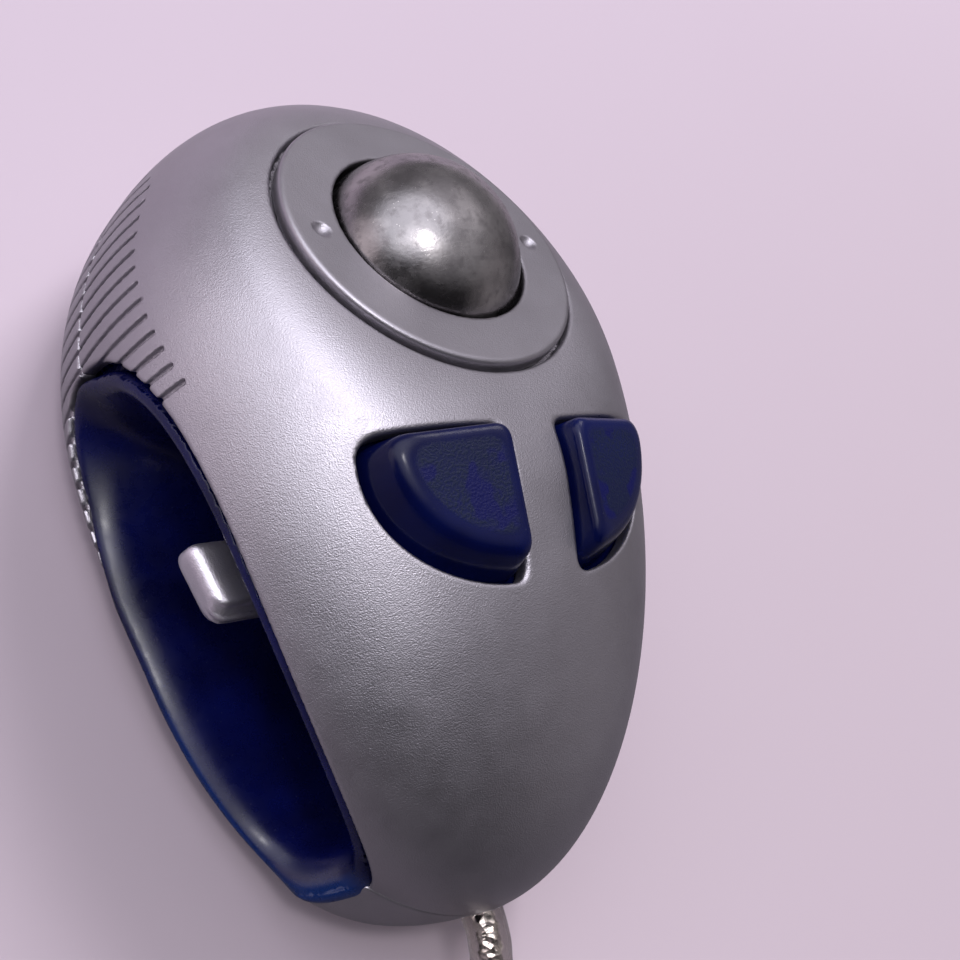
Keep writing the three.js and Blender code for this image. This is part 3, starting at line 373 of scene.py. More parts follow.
def bottom_shell(x, y, z):
    """The lower half of the case, with a flat base and posts for four screws."""
    outer = egg(x, y, z)
    inner = np.maximum(cavity(outer, y), -BASE_DEPTH + WALL - z)
    outer = smooth_max(outer, -BASE_DEPTH - z, 1.6)
    shell = smooth_max(outer, -inner, 0.2)
    shell = smooth_max(shell, -grooved(outer, ribs(y, z, -10, -9.5)), 0.2)
    shell = smooth_max(shell, -mouth_cut(x, y, z), 0.5)
    shell = smooth_max(shell, -cable_cut(x, y, z), 0.2)
    for across, back, head in SCREWS:
        from_screw = np.sqrt((np.abs(x) - across) ** 2 + (y - back) ** 2)
        post = smooth_max(from_screw - SCREW_POST_R, z + 0.4, 0.2)
        shell = smooth_min(shell, np.maximum(post, outer), 0.3)
        shell = smooth_max(shell, -np.maximum(from_screw - SCREW_HEAD_R, z - head), 0.2)
        shell = np.maximum(shell, SCREW_HOLE_R - from_screw)
    return smooth_max(shell, z + SEAM / 2, 0.3)


def liner(x, y, z):
    """The tunnel's blue liner, with a lip sunk in the mouth's upper edge and folded over the lower."""
    outer = egg(x, y, z)
    rise = np.clip((z + 2) / 5, 0, 1)
    rise = rise * rise * (3 - 2 * rise)
    flare = (1 - rise) * np.clip(1 + outer / LIP_ROLL_DEPTH, 0, 1) ** 2
    hollow = bore(x, y, z) - LIP_ROLL * flare
    tube = np.maximum(hollow - LINER_WALL, outer + LINER_SUNK)
    fold = (1 - rise) * np.clip((-4 - y) / 10, 0, 1)
    sunk = LIP_SUNK_BELOW + (LINER_SUNK - LIP_SUNK_BELOW) * rise
    sunk = sunk - (LIP_PROUD + LIP_SUNK_BELOW) * fold
    overlap = -LIP_GAP - LIP_EXTRA_GAP_ABOVE * rise + (LIP_OVERLAP + LIP_GAP) * fold
    lip = smooth_max(mouth_cut(x, y, z, overlap), outer + sunk, 1.0)
    lip = np.maximum(lip, -outer - WALL - 0.7)
    behind_wall = np.maximum(outer + WALL + 0.3, -outer - WALL - 1.3)
    flange = np.maximum(mouth_cut(x, y, z, 1), behind_wall)
    body = np.minimum(np.minimum(tube, lip), flange)
    body = smooth_max(body, -hollow, 0.9)
    half_width, half_depth = TUNNEL_SLOT_HALF
    slot = np.maximum(np.abs(x) - half_width, np.abs(y - TUNNEL_SLOT_Y) - half_depth)
    slot = np.maximum(slot, TUNNEL_SLOT_BOTTOM - z)
    return smooth_max(body, -slot, 0.2)


def ring(x, y, z):
    """The ring that holds the ball in, with a skirt below and a dimple on each side."""
    height, radius = deck_frame(x, y, z)
    plate = smooth_max(smooth_max(radius - RING_R, height, 0.55), -height - RING_THICKNESS, 0.2)
    skirt = np.maximum(np.maximum(radius - SKIRT_R, height + 1), SKIRT_BOTTOM - height)
    body = smooth_min(plate, skirt, 0.2)
    opening = RING_BORE_R - radius + 0.42 * np.minimum(-height, 2)
    body = smooth_max(body, opening, 0.5)
    along = (y - RING_Y) * DECK_AXIS.z - (z - RING_Z) * DECK_AXIS.y
    from_dimple = np.sqrt((np.abs(x) - DIMPLE_X) ** 2 + along**2 + (height - 0.5) ** 2)
    return smooth_max(body, DIMPLE_R - from_dimple, 0.14)


def button_crown(x, y):
    """The height of the right-hand button's sloping top."""
    across = x - BUTTON_INNER_X
    return BUTTON_TOP_Z + (y - BUTTON_REAR_Y) * BUTTON_TOP_SLOPE - across * BUTTON_SIDE_SLOPE


def button(x, y, z):
    """The right-hand thumb button: a sloping cap on a flange, with an arm to the pivot and a stem."""
    tilt = math.sqrt(1 + BUTTON_TOP_SLOPE**2 + BUTTON_SIDE_SLOPE**2)
    top = (z - button_crown(x, y)) / tilt
    draft = np.clip(BUTTON_DRAFT * np.maximum(-top, 0), 0, 0.65)
    side = button_outline(x, y, draft - BUTTON_GAP, np.clip(1.0 - draft, 0.4, 1))
    cap = smooth_max(top, side, 1.2)
    outer = egg(x, y, z)
    cap = np.maximum(cap, -outer - WALL - 1.4)
    behind_wall = np.maximum(outer + WALL + 0.35, -outer - WALL - 1.5)
    flange = np.maximum(button_outline(x, y, 0.7), behind_wall)
    arm = block(x, y, z, ARM_MIDDLE, ARM_HALF)
    from_rod = np.sqrt((y - ROD_Y) ** 2 + (z - ROD_Z) ** 2)
    eye = np.maximum(from_rod - EYE_R, np.abs(x - ARM_MIDDLE[0]) - ARM_HALF[0])
    stem = np.sqrt((x - ARM_MIDDLE[0]) ** 2 + (y - STEM_Y) ** 2) - STEM_R
    stem = np.maximum(stem, np.abs(z - STEM_MIDDLE_Z) - STEM_HALF_HEIGHT)
    mount = np.maximum(np.minimum(np.minimum(arm, eye), stem), outer + WALL + 0.35)
    body = smooth_min(smooth_min(cap, flange, 0.4), mount, 0.4)
    return np.maximum(body, PIVOT_HOLE_R - from_rod)


def trigger(x, y, z):
    """A bar that hangs in the tunnel from its pin, with a bulging ribbed pad at the front."""
    bulge = np.clip((TRIGGER_TOP - 0.7 - z) / 0.9, 0, 1) * np.clip(z - TRIGGER_BOTTOM, 0, 1) ** 0.5
    ridge = 0.15 * np.cos(2 * math.pi * z / PAD_RIDGE_PITCH) - 0.15
    ridge = np.where(z < TRIGGER_TOP - 1.3, ridge, 0)
    front = TRIGGER_FRONT - bulge - ridge - y
    lower_rear = smooth_max(TRIGGER_BOTTOM - z, y - TRIGGER_REAR, 1.2)
    body = smooth_max(smooth_max(z - TRIGGER_TOP, front, 0.8), lower_rear, 1.2)
    end = np.abs(x) - TRIGGER_HALF_WIDTH - TRIGGER_END_SLANT * (y - PIN_Y)
    body = smooth_max(body, end, 1.5)
    body = smooth_min(body, block(x, y, z, NECK_MIDDLE, NECK_HALF), 0.8)
    body = smooth_min(body, block(x, y, z, TAB_MIDDLE, TAB_HALF), 0.3)
    return np.maximum(body, PIVOT_HOLE_R - np.sqrt((y - PIN_Y) ** 2 + (z - PIN_Z) ** 2))


# ---- Meshing -------------------------------------------------------------------------------------
def gradient(field, points, span=0.01):
    """The slope of a field at scattered points."""
    slopes = []
    for axis in range(3):
        ahead = points.copy()
        behind = points.copy()
        ahead[:, axis] += span
        behind[:, axis] -= span
        slopes.append((field(*ahead.T) - field(*behind.T)) / (2 * span))
    return np.stack(slopes, axis=1)


def new_object(name, points, faces):
    """A mesh object from points in millimetres above the seam."""
    mesh = bpy.data.meshes.new(name)
    mesh.from_pydata(((points + [0, 0, BASE_DEPTH]) * MM).tolist(), [], [list(face) for face in faces])
    mesh.polygons.foreach_set("use_smooth", [True] * len(mesh.polygons))
    made = bpy.data.objects.new(name, mesh)
    bpy.context.scene.collection.objects.link(made)
    return made


def fielded(name, field, low, high, step):
    """Meshes the zero surface of a field inside a box, as an object."""
    steps = step if isinstance(step, tuple) else (step, step, step)
    step = max(steps)
    band = 3 * step
    axes = [np.arange(low[k] - band, high[k] + band, steps[k]) for k in range(3)]
    x, y, z = np.meshgrid(*axes, indexing="ij", sparse=True)
    values = np.clip(field(x, y, z), -band, band).astype(np.float32)
    grid = openvdb.FloatGrid(band)
    grid.copyFromArray(np.ascontiguousarray(values))
    points, quads = grid.convertToQuads(isovalue=0.0)
    points = points.astype(float) * steps + [axis[0] for axis in axes]
    for _ in range(4):
        slope = gradient(field, points)
        steep = np.maximum(np.sum(slope**2, axis=1), 0.05)
        move = slope * (field(*points.T) / steep)[:, None]
        length = np.linalg.norm(move, axis=1, keepdims=True)
        points -= move * np.minimum(1, 0.5 * step / np.maximum(length, 1e-9))
    points = np.clip(points, low, high)
    made = new_object(name, points, quads)
    normals = gradient(field, points)
    normals /= np.maximum(np.linalg.norm(normals, axis=1, keepdims=True), 1e-9)
    made.data.normals_split_custom_set_from_vertices(normals.tolist())
    return made, points


def paint_attribute(made, name, values):
    """Stores one number for each vertex, for a material to read."""
    layer = made.data.attributes.new(name, "FLOAT", "POINT")
    layer.data.foreach_set("value", np.clip(values, 0, 1).astype(np.float32))


# ---- Materials -----------------------------------------------------------------------------------
class Paint:
    """Short calls for building one node material. Texture scales are features per millimetre."""

    def __init__(self, name, **surface):
        self.material = bpy.data.materials.new(name)
        self.material.use_nodes = True
        self.tree = self.material.node_tree
        self.surface = self.tree.nodes["Principled BSDF"]
        place = self.add("ShaderNodeTexCoord").outputs["Object"]
        self.place = self.scaled(place, (1000, 1000, 1000))
        self.set(**surface)

    def scaled(self, place, factors):
        return self.add("ShaderNodeVectorMath", {0: place, 1: factors}, operation="MULTIPLY").outputs[0]

    def add(self, kind, inputs=None, **settings):
        node = self.tree.nodes.new(kind)
        for key, value in settings.items():
            setattr(node, key, value)
        for socket, value in (inputs or {}).items():
            self.feed(node.inputs[socket], value)
        return node

    def feed(self, socket, value):
        if isinstance(value, bpy.types.NodeSocket):
            self.tree.links.new(value, socket)
        elif socket.type == "RGBA":
            socket.default_value = (*value, 1)
        else:
            socket.default_value = value

    def set(self, **inputs):
        for key, value in inputs.items():
            self.feed(self.surface.inputs[key.replace("_", " ")], value)

    def noise(self, scale, detail=2.0, stretch=None):
        place = self.scaled(self.place, stretch) if stretch else self.place
        inputs = {"Vector": place, "Scale": scale, "Detail": detail}
        return self.add("ShaderNodeTexNoise", inputs).outputs["Fac"]

    def cells(self, scale):
        inputs = {"Vector": self.place, "Scale": scale}
        return self.add("ShaderNodeTexVoronoi", inputs).outputs["Distance"]

    def attribute(self, name):
        return self.add("ShaderNodeAttribute", attribute_name=name).outputs["Fac"]

    def spread(self, value, low, high, to_low=0.0, to_high=1.0):
        inputs = {"Value": value, "From Min": low, "From Max": high}
        inputs.update({"To Min": to_low, "To Max": to_high})
        return self.add("ShaderNodeMapRange", inputs).outputs[0]

    def times(self, a, b):
        return self.add("ShaderNodeMath", {0: a, 1: b}, operation="MULTIPLY").outputs[0]

    def plus(self, a, b):
        return self.add("ShaderNodeMath", {0: a, 1: b}, operation="ADD").outputs[0]

    def mix(self, share, a, b):
        node = self.add("ShaderNodeMix", data_type="RGBA")
        self.feed(node.inputs[0], share)
        self.feed(node.inputs[6], a)
        self.feed(node.inputs[7], b)
        return node.outputs[2]

    def bump(self, height, strength, distance=0.1):
        inputs = {"Height": height, "Strength": strength, "Distance": distance * MM}
        if self.surface.inputs["Normal"].is_linked:
            inputs["Normal"] = self.surface.inputs["Normal"].links[0].from_socket
        self.set(Normal=self.add("ShaderNodeBump", inputs).outputs[0])


def satin_silver(name, tone=1.0, grain=1.0):
    """Satin metallic paint: fine orange peel and smudges, with dark dirt specks and painted shade where
    marked.
    """
    paint = Paint(name, Metallic=0.97)
    drift = paint.noise(0.06, 3)
    flake = paint.noise(7.5, 2)
    light = tuple(tone * v for v in (0.46, 0.44, 0.48))
    dark = tuple(tone * v for v in (0.37, 0.35, 0.385))
    mottle = paint.plus(drift, paint.times(flake, 0.35))
    base = paint.mix(paint.spread(mottle, 0.45, 0.9), dark, light)
    dirt_and_shade = paint.attribute("dirt_and_shade")
    specks = paint.spread(paint.cells(1.3), 0.14, 0.1)
    patchy = paint.spread(paint.noise(0.5, 3), 0.48, 0.62)
    dots = paint.times(paint.times(specks, patchy), paint.spread(dirt_and_shade, 0.25, 0.8))
    base = paint.mix(dots, base, (0.02, 0.018, 0.02))
    # Painted shade: darkens the paint a little where the mark is high, in the recesses that each piece
    # marks.
    base = paint.mix(paint.times(dirt_and_shade, 0.1), base, (0.12, 0.11, 0.12))
    paint.set(Base_Color=base)
    uneven = paint.plus(paint.noise(0.35, 4), paint.times(flake, 0.5))
    paint.set(Roughness=paint.spread(uneven, 0.4, 1.1, 0.34, 0.46))
    paint.bump(flake, 0.4 * grain, 0.12)
    paint.bump(paint.noise(3.4, 2), 0.12 * grain, 0.15)
    return paint.material


def worn_ball():
    """Dark plated metal with worn mottled patches, fine scratches and specks."""
    paint = Paint("worn_ball_plating", Metallic=1.0)
    patches = paint.spread(paint.noise(0.22, 6), 0.38, 0.68)
    scuffs = paint.spread(paint.noise(1.1, 5), 0.5, 0.7)
    base = paint.mix(patches, (0.2, 0.19, 0.195), (0.4, 0.38, 0.38))
    base = paint.mix(paint.times(scuffs, 0.5), base, (0.12, 0.11, 0.115))
    specks = paint.spread(paint.cells(1.5), 0.09, 0.05)
    base = paint.mix(paint.times(specks, 0.6), base, (0.55, 0.52, 0.5))
    paint.set(Base_Color=base)
    paint.set(Roughness=paint.spread(paint.plus(patches, scuffs), 0.2, 1.8, 0.22, 0.4))
    paint.bump(paint.noise(2.6, 3), 0.1, 0.12)
    scratches = paint.noise(1.0, 3, stretch=(0.4, 5, 1.2))
    paint.bump(paint.spread(scratches, 0.62, 0.66), 0.08, 0.05)
    return paint.material


# Painted glow: the brighter blue that stands in for light shining through the plastic.
PAINTED_GLOW_BLUE = (0.006, 0.028, 0.15)


def blue_plastic(name, deep, glow, roughness, worn=False, index=1.45):
    """Translucent blue plastic. Frosted and worn areas come from attributes, and so does a painted glow,
    a brighter blue where light would shine through the plastic.
    """
    paint = Paint(name, IOR=index, Transmission_Weight=0.5, Specular_IOR_Level=0.3)
    base = paint.mix(paint.spread(paint.noise(0.12, 2), 0.35, 0.65), deep, glow)
    # Painted glow where the mark is high.
    base = paint.mix(paint.attribute("painted_glow"), base, PAINTED_GLOW_BLUE)
    rough = paint.spread(paint.noise(0.8, 4), 0.3, 0.7, roughness, roughness + 0.08)
    if worn:
        frost = paint.attribute("frost")
        speckle = paint.spread(paint.noise(4.2, 2), 0.42, 0.62)
        haze = paint.times(frost, paint.plus(0.35, paint.times(speckle, 0.65)))
        patch = paint.times(frost, paint.spread(paint.noise(0.3, 2), 0.55, 0.6))
        base = paint.mix(haze, base, (0.006, 0.013, 0.05))
        base = paint.mix(patch, base, (0.001, 0.003, 0.09))
        paint.set(Specular_IOR_Level=paint.spread(frost, 0, 1, 0.3, 0.12))
        rough = paint.plus(rough, paint.times(frost, 0.3))
        paint.bump(paint.times(frost, speckle), 0.25, 0.1)
    dust = paint.spread(paint.cells(0.9), 0.06, 0.03)
    base = paint.mix(paint.times(dust, 0.25), base, (0.2, 0.21, 0.3))
    paint.set(Base_Color=base, Roughness=rough)
    paint.bump(paint.noise(0.5, 2), 0.03, 0.3)
    return paint.material


def moulded(name, colour, roughness=0.5, metallic=0.0, transmission=0.0):
    """Plain moulded or metal surface with fine grain and slight colour drift."""
    paint = Paint(name, Metallic=metallic, Transmission_Weight=transmission)
    darker = tuple(0.75 * v for v in colour)
    paint.set(Base_Color=paint.mix(paint.spread(paint.noise(0.4, 3), 0.35, 0.65), darker, colour))
    paint.set(Roughness=paint.spread(paint.noise(1.5, 3), 0.35, 0.65, roughness - 0.07, roughness + 0.07))
    paint.bump(paint.noise(4, 2), 0.08, 0.1)
    return paint.material


def board_green():
    """Solder mask over faint copper tracks."""
    paint = Paint("board_mask", Roughness=0.35)
    tracks = paint.add("ShaderNodeTexBrick", {"Vector": paint.place, "Scale": 0.5}).outputs["Fac"]
    paint.set(Base_Color=paint.mix(tracks, (0.012, 0.11, 0.04), (0.03, 0.2, 0.07)))
    paint.bump(tracks, 0.2, 0.05)
    return paint.material


def clear_jacket():
    """Clear vinyl that has yellowed a little."""
    paint = Paint("clear_jacket", Transmission_Weight=1.0, IOR=1.15, Alpha=0.55)
    paint.set(Base_Color=paint.mix(paint.noise(0.4, 3), (0.72, 0.6, 0.48), (0.9, 0.82, 0.72)))
    paint.set(Roughness=paint.spread(paint.noise(1.2, 3), 0.3, 0.7, 0.06, 0.2))
    paint.bump(paint.noise(0.8, 2), 0.1, 0.2)
    return paint.material


def crinkled_foil():
    """Bright crumpled shielding foil."""
    paint = Paint("crinkled_foil", Metallic=1.0, Roughness=0.22)
    crumple = paint.cells(1.1)
    paint.set(Base_Color=paint.mix(paint.noise(0.7, 3), (0.75, 0.72, 0.7), (0.95, 0.92, 0.9)))
    paint.bump(crumple, 0.9, 0.5)
    return paint.material


FINISHES = {
    "shell_paint": satin_silver("satin_silver_paint"),
    "ring_paint": satin_silver("ring_silver_paint", tone=0.9, grain=0.6),
    "blue_plastic": blue_plastic("liner_blue", (0.002, 0.003, 0.045), (0.003, 0.006, 0.1), 0.24),
    "ball_plating": worn_ball(),
    "steel": moulded("bright_steel", (0.62, 0.61, 0.6), 0.3, metallic=1.0),
    "black_plastic": moulded("black_moulding", (0.02, 0.02, 0.022), 0.5),
    "white_plastic": moulded("white_moulding", (0.7, 0.68, 0.62), 0.4),
    "board_green": board_green(),
    "amber_lens": moulded("amber_lens", (0.75, 0.45, 0.1), 0.2, transmission=0.7),
    "smoke_lens": moulded("smoke_lens", (0.05, 0.04, 0.06), 0.15),
    "clear_jacket": clear_jacket(),
    "braid": crinkled_foil(),
    "wire_red": moulded("wire_red", (0.5, 0.02, 0.02), 0.4),
    "wire_white": moulded("wire_white", (0.8, 0.8, 0.78), 0.4),
    "wire_green": moulded("wire_green", (0.02, 0.3, 0.08), 0.4),
    "wire_black": moulded("wire_black", (0.015, 0.015, 0.015), 0.4),
}
BUTTON_BLUE = blue_plastic(
    "button_blue", (0.002, 0.004, 0.05), (0.003, 0.008, 0.09), 0.14, worn=True, index=1.34
)
# A lighter copy of the shell's silver paint: painted light for the trigger, which sits in the tunnel's
# shade.
TRIGGER_SILVER_PAINTED_LIGHTER = satin_silver("trigger_silver_painted_lighter", tone=1.8)


def dress(piece, slot, material=None):
    piece.data.materials.clear()
    piece.data.materials.append(material or FINISHES[slot])


def finish_piece(piece, body, slot, node, material=None):
    """Gives a new piece its material and its body, and hides the CAD node that it stands for."""
    dress(piece, slot, material)
    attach(piece, body)
    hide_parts(node)


# ---- Pieces --------------------------------------------------------------------------------------
STEP = 0.34
SHELL_STEP = (STEP, 0.16, STEP)
TRIGGER_STEP = (0.35, 0.2, 0.2)


def case_top():
    low, high = (-30, -53, 0), (30, 36.6, 30)
    piece, points = fielded("case_top", top_shell, low, high, SHELL_STEP)
    x, y, z = points.T
    # The mark holds dirt specks and painted shade next to the buttons' cutouts, round the ring's seat and
    # down the grooves.
    near_button = np.exp(-np.maximum(button_outline(np.abs(x), y, 0), 0) / 1.6) * (y > -20) * (y < -9)
    _, radius = deck_frame(x, y, z)
    near_ring = np.exp(-np.maximum(radius - SEAT_R, 0) / 0.7) * (z > 10)
    in_groove = np.clip(-skin(x, y, z) * 3, 0, 1) * (z < 16)
    dirt_and_shade = np.maximum(np.maximum(near_button, 0.8 * near_ring), 0.7 * in_groove)
    paint_attribute(piece, "dirt_and_shade", dirt_and_shade)
    finish_piece(piece, "case", "shell_paint", "top_shell")


def case_bottom():
    low, high = (-30, -53, -14), (30, 36.6, 0)
    piece, points = fielded("case_bottom", bottom_shell, low, high, SHELL_STEP)
    # Dirt specks and painted shade down the grooves.
    paint_attribute(piece, "dirt_and_shade", 0.5 * np.clip(-egg(*points.T) * 3, 0, 1))
    finish_piece(piece, "case", "shell_paint", "bottom_shell")


def tunnel_liner():
    piece, points = fielded("tunnel_liner", liner, (-30, -50, -11), (30, 10, 18), STEP)
    x, y, z = points.T
    # Painted glow: a brighter blue where the lip stands out of the case, low and towards the nose, as if
    # light shone through it.
    outside = np.clip(1.4 + egg(x, y, z) * 1.6, 0, 1)
    low_and_ahead = np.clip((1.5 - z) / 3, 0, 1) * np.clip((-16 - y) / 14, 0, 1)
    paint_attribute(piece, "painted_glow", outside * low_and_ahead)
    finish_piece(piece, "case", "blue_plastic", "finger_tunnel")


def thumb_ring():
    piece, points = fielded("thumb_ring", ring, (-17, -6, 13), (17, 28, 28), min(STEP, 0.28))
    height, _ = deck_frame(*points.T)
    # Dirt specks and painted shade below the ring's upper face.
    paint_attribute(piece, "dirt_and_shade", 0.6 * np.clip(-height - 0.25, 0, 1))
    finish_piece(piece, "ring", "ring_paint", "retaining_ring")


def thumb_ball():
    low, high = (-11, -1, 7.9), (11, 21.2, 30.2)
    piece, _ = fielded("thumb_ball", ball, low, high, min(STEP, 0.4))
    finish_piece(piece, "ball_outer", "ball_plating", "ball_skin")


def thumb_button(word, side):
    """One thumb button: side is -1 for the left one and 1 for the right one."""
    def mirrored(x, y, z):
        return button(side * x, y, z)

    inner, outer = sorted((side * 1.5, side * 19))
    low, high = (inner, -27, 17), (outer, -6, 30.3)
    piece, points = fielded(f"{word}_thumb_button", mirrored, low, high, min(STEP, 0.25))
    x, y, z = points.T
    flat = np.clip(1 - 6 * (button_crown(side * x, y) - z - 0.05), 0, 1)
    within = np.clip(-3 * button_outline(side * x, y, -1.9, 1.2), 0, 1)
    paint_attribute(piece, "frost", flat * within)
    finish_piece(piece, f"button_{word}", "blue_plastic", f"{word}_button", BUTTON_BLUE)


def finger_trigger():
    piece, _ = fielded("finger_trigger", trigger, (-25.6, -20, 1), (25.6, -12, 19.5), TRIGGER_STEP)
    # The trigger wears the lighter copy of the silver paint, which is painted light.
    finish_piece(piece, "trigger_lever", "shell_paint", "trigger", TRIGGER_SILVER_PAINTED_LIGHTER)


case_top()
case_bottom()
tunnel_liner()
thumb_ring()
thumb_ball()
thumb_button("left", -1)
thumb_button("right", 1)
finger_trigger()


# ---- Cable ---------------------------------------------------------------------------------------
def cable_path(inset, count=60):
    """Points down the middle of the cable: straight out of the nose, then bending down to the desk."""
    stations = np.linspace(CABLE_START_Y - inset, CABLE_BEND[0][1], 12, endpoint=False)
    straight = [Vector((0, y, CABLE_Z)) for y in stations]
    a, b, c, d = (Vector(p) for p in CABLE_BEND)
    bend = []
    for share in np.linspace(0, 1 - inset / 25, count):
        left = 1 - share
        bend.append(a * left**3 + b * 3 * left**2 * share + c * 3 * left * share**2 + d * share**3)
    return straight + bend


def tube(name, path, radius_at, around=28):
    """A closed tube whose radius is a function of the share along it and the angle round it."""
    across = Vector((1, 0, 0))
    points = []
    faces = []
    for i, middle in enumerate(path):
        ahead = (path[min(i + 1, len(path) - 1)] - path[max(i - 1, 0)]).normalized()
        upright = across.cross(ahead)
        for j in range(around):
            angle = 2 * math.pi * j / around
            radius = radius_at(i / (len(path) - 1), angle)
            points.append(middle + radius * (math.cos(angle) * across + math.sin(angle) * upright))
            if i:
                near, far = (i - 1) * around, i * around
                faces.append((near + j, far + j, far + (j + 1) % around, near + (j + 1) % around))
    faces.append(tuple(range(around)))
    faces.append(tuple(len(path) * around - 1 - j for j in range(around)))
    return new_object(name, np.array([tuple(p) for p in points]), faces)


def jacket_radius(share, angle):
    return CABLE_R * (1 + 0.006 * math.sin(60 * share + 2 * angle)) - 0.02


def foil_radius(share, angle):
    """Foil wrapped loosely round the wires, with folds and dents."""
    folds = 0.09 * math.sin(3 * angle + 85 * share) + 0.07 * math.sin(5 * angle - 140 * share)
    return FOIL_R + folds + 0.05 * math.sin(230 * share + angle)


piece = tube("cable_sleeve", cable_path(0), jacket_radius)
finish_piece(piece, "case", "clear_jacket", "cable_jacket")
piece = tube("cable_foil", cable_path(1), foil_radius)
finish_piece(piece, "case", "braid", "cable_braid")

# ---- Materials of the CAD nodes that are shown as they are ---------------------------------------
for entry in frame["record"]["subparts"]:
    dress(frame["nodes"][entry["node"]], entry["material_slot"])

# ---- Stage ---------------------------------------------------------------------------------------
DESK_HALF = 900


def floor_paint():
    """A pale desk with painted shade that darkens it slightly towards the front and left. It looks darker
    in reflections than it is, most of all in front of the mouse.
    """
    paint = Paint("pale_desk", Roughness=0.45)
    towards_back = {0: paint.place, 1: (-0.4, 1, 0)}
    along = paint.add("ShaderNodeVectorMath", towards_back, operation="DOT_PRODUCT").outputs["Value"]
    # Painted shade: the desk's colour darkens slightly towards the front and left.
    pale = paint.mix(paint.spread(along, -70, 150), (0.54, 0.455, 0.515), (0.56, 0.475, 0.57))
    pale = paint.mix(paint.times(paint.noise(0.01, 2), 0.1), pale, (0.7, 0.62, 0.7))
    mirrored = paint.add("ShaderNodeLightPath").outputs["Is Glossy Ray"]
    dark = paint.times(mirrored, paint.spread(along, 190, -110))
    paint.set(Base_Color=paint.mix(dark, pale, (0.08, 0.075, 0.085)))
    return paint.material


def floor():
    mesh = bpy.data.meshes.new("desk")
    corners = [(-DESK_HALF, -DESK_HALF, 0), (DESK_HALF, -DESK_HALF, 0)]
    corners += [(DESK_HALF, DESK_HALF, 0), (-DESK_HALF, DESK_HALF, 0)]
    mesh.from_pydata([tuple(v * MM for v in corner) for corner in corners], [], [(0, 1, 2, 3)])
    made = bpy.data.objects.new("desk", mesh)
    mesh.materials.append(floor_paint())
    bpy.context.scene.collection.objects.link(made)


def aim(made, at, target, roll=0.0):
    """Places a light or camera at a point in millimetres and turns it to a target."""
    made.location = Vector(at) * MM
    made.rotation_mode = "QUATERNION"
    turn = (Vector(target) - Vector(at)).to_track_quat("-Z", "Y")
    made.rotation_quaternion = turn @ Quaternion((0, 0, 1), math.radians(roll))
    bpy.context.scene.collection.objects.link(made)


def softbox(name, at, target, size, power, colour, mirrored=True):
    light = bpy.data.lights.new(name, "AREA")
    light.shape = "RECTANGLE"
    light.size, light.size_y = (v * MM for v in size)
    light.energy = power
    light.color = colour
    made = bpy.data.objects.new(name, light)
    made.visible_glossy = mirrored
    aim(made, at, target)


# Soft light from all round the room: azimuth and elevation in degrees, the cosine of the angle at which
# it starts and the one at which it is full, its strength and its tint. The front of the room is dark.
ROOM_AS_SOURCE = 0.36
BACKDROP = (0.6, 0.53, 0.61, 1)
ROOM_BASE = (0.03, 0.028, 0.031)
ROOM_LIGHT = [
    (0, 90, 0.5, 1.0, 0.5, (0.96, 0.93, 1.0)),
    (84, 26, -0.15, 1.0, 0.3, (1.0, 0.95, 1.02)),
    (150, 55, 0.72, 0.97, 2.4, (0.95, 0.95, 1.04)),
    (60, 52, 0.8, 1.0, 0.5, (1.0, 0.95, 1.02)),
    (161, 3, 0.88, 0.98, 1.4, (1.0, 0.88, 0.94)),
    (-25, 14, 0.75, 1.0, 0.25, (1.0, 0.92, 0.98)),
]


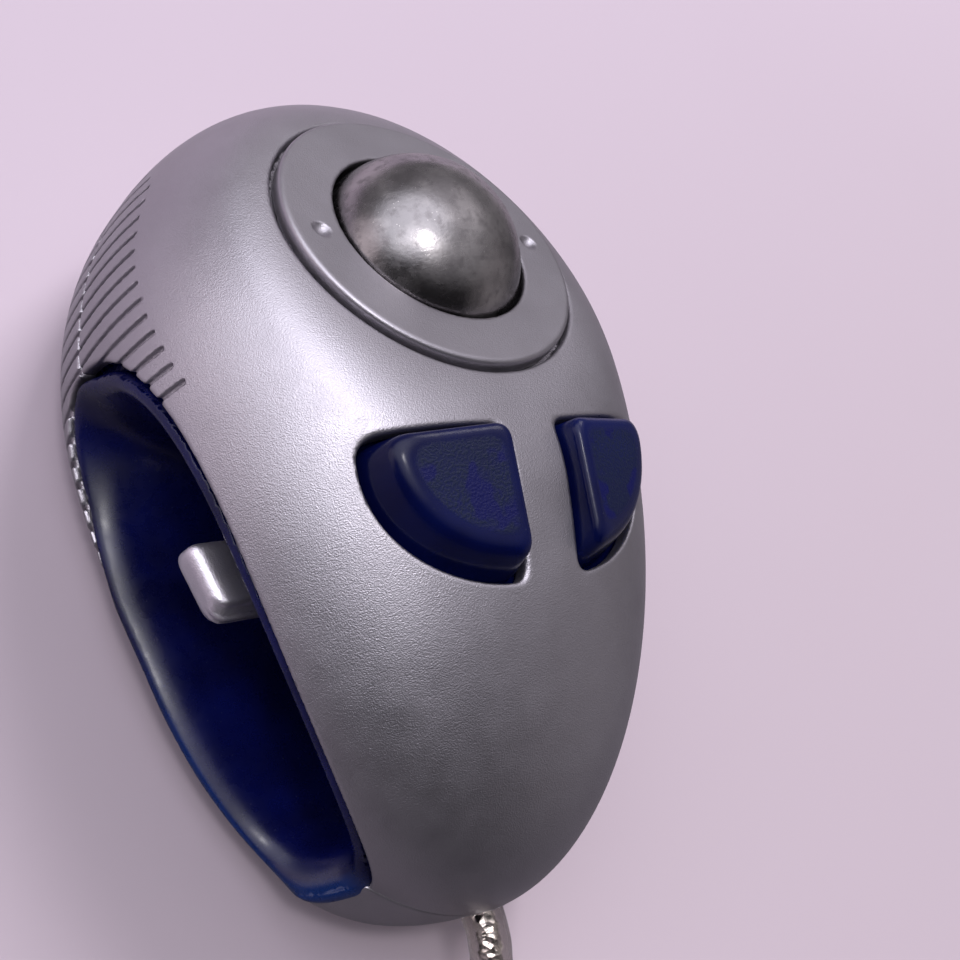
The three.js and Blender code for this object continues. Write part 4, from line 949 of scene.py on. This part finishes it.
def room():
    world = bpy.data.worlds.new("room")
    world.use_nodes = True
    tree = world.node_tree
    direction = tree.nodes.new("ShaderNodeTexCoord").outputs["Generated"]
    light = None
    for azimuth, elevation, start, full, strength, tint in ROOM_LIGHT:
        turn, rise = math.radians(azimuth), math.radians(elevation)
        facing = tree.nodes.new("ShaderNodeVectorMath")
        facing.operation = "DOT_PRODUCT"
        tree.links.new(direction, facing.inputs[0])
        level = math.cos(rise)
        towards = (math.cos(turn) * level, math.sin(turn) * level, math.sin(rise))
        facing.inputs[1].default_value = towards
        share = tree.nodes.new("ShaderNodeMapRange")
        share.interpolation_type = "SMOOTHSTEP"
        tree.links.new(facing.outputs["Value"], share.inputs["Value"])
        share.inputs["From Min"].default_value = start
        share.inputs["From Max"].default_value = full
        total = tree.nodes.new("ShaderNodeVectorMath")
        total.operation = "MULTIPLY_ADD"
        tree.links.new(share.outputs[0], total.inputs[0])
        total.inputs[1].default_value = [strength * channel for channel in tint]
        if light:
            tree.links.new(light, total.inputs[2])
        else:
            total.inputs[2].default_value = ROOM_BASE
        light = total.outputs[0]
    backdrop = tree.nodes.new("ShaderNodeMix")
    backdrop.data_type = "RGBA"
    tree.links.new(tree.nodes.new("ShaderNodeLightPath").outputs["Is Camera Ray"], backdrop.inputs[0])
    tree.links.new(light, backdrop.inputs[6])
    backdrop.inputs[7].default_value = BACKDROP
    tree.links.new(backdrop.outputs[2], tree.nodes["Background"].inputs["Color"])
    # The room looks brighter in reflections than it is as a source, which deepens the soft shadows.
    scattered = tree.nodes.new("ShaderNodeLightPath").outputs["Is Diffuse Ray"]
    power = tree.nodes.new("ShaderNodeMapRange")
    tree.links.new(scattered, power.inputs["Value"])
    power.inputs["To Min"].default_value = 1.0
    power.inputs["To Max"].default_value = ROOM_AS_SOURCE
    tree.links.new(power.outputs[0], tree.nodes["Background"].inputs["Strength"])
    bpy.context.scene.world = world


floor()
softbox("key", (-168, -18, 417), (0, 0, 20), (60, 60), 0.35, (1.0, 0.97, 0.98))
softbox("fill", (480, 650, 825), (0, 0, 20), (500, 500), 11, (1.0, 0.96, 1.0), mirrored=False)
room()

camera = bpy.data.cameras.new("camera")
camera.lens = 47.35
camera.sensor_width = 36
camera.clip_start = 0.01
view = bpy.data.objects.new("camera", camera)
CAMERA_AT = (-81.67, -43.92, 120.13)
CAMERA_TARGET = (10.67, -9.61, 20.65)
CAMERA_ROLL = 56.5
aim(view, CAMERA_AT, CAMERA_TARGET, CAMERA_ROLL)
bpy.context.scene.camera = view
bpy.context.scene.view_settings.view_transform = "Standard"
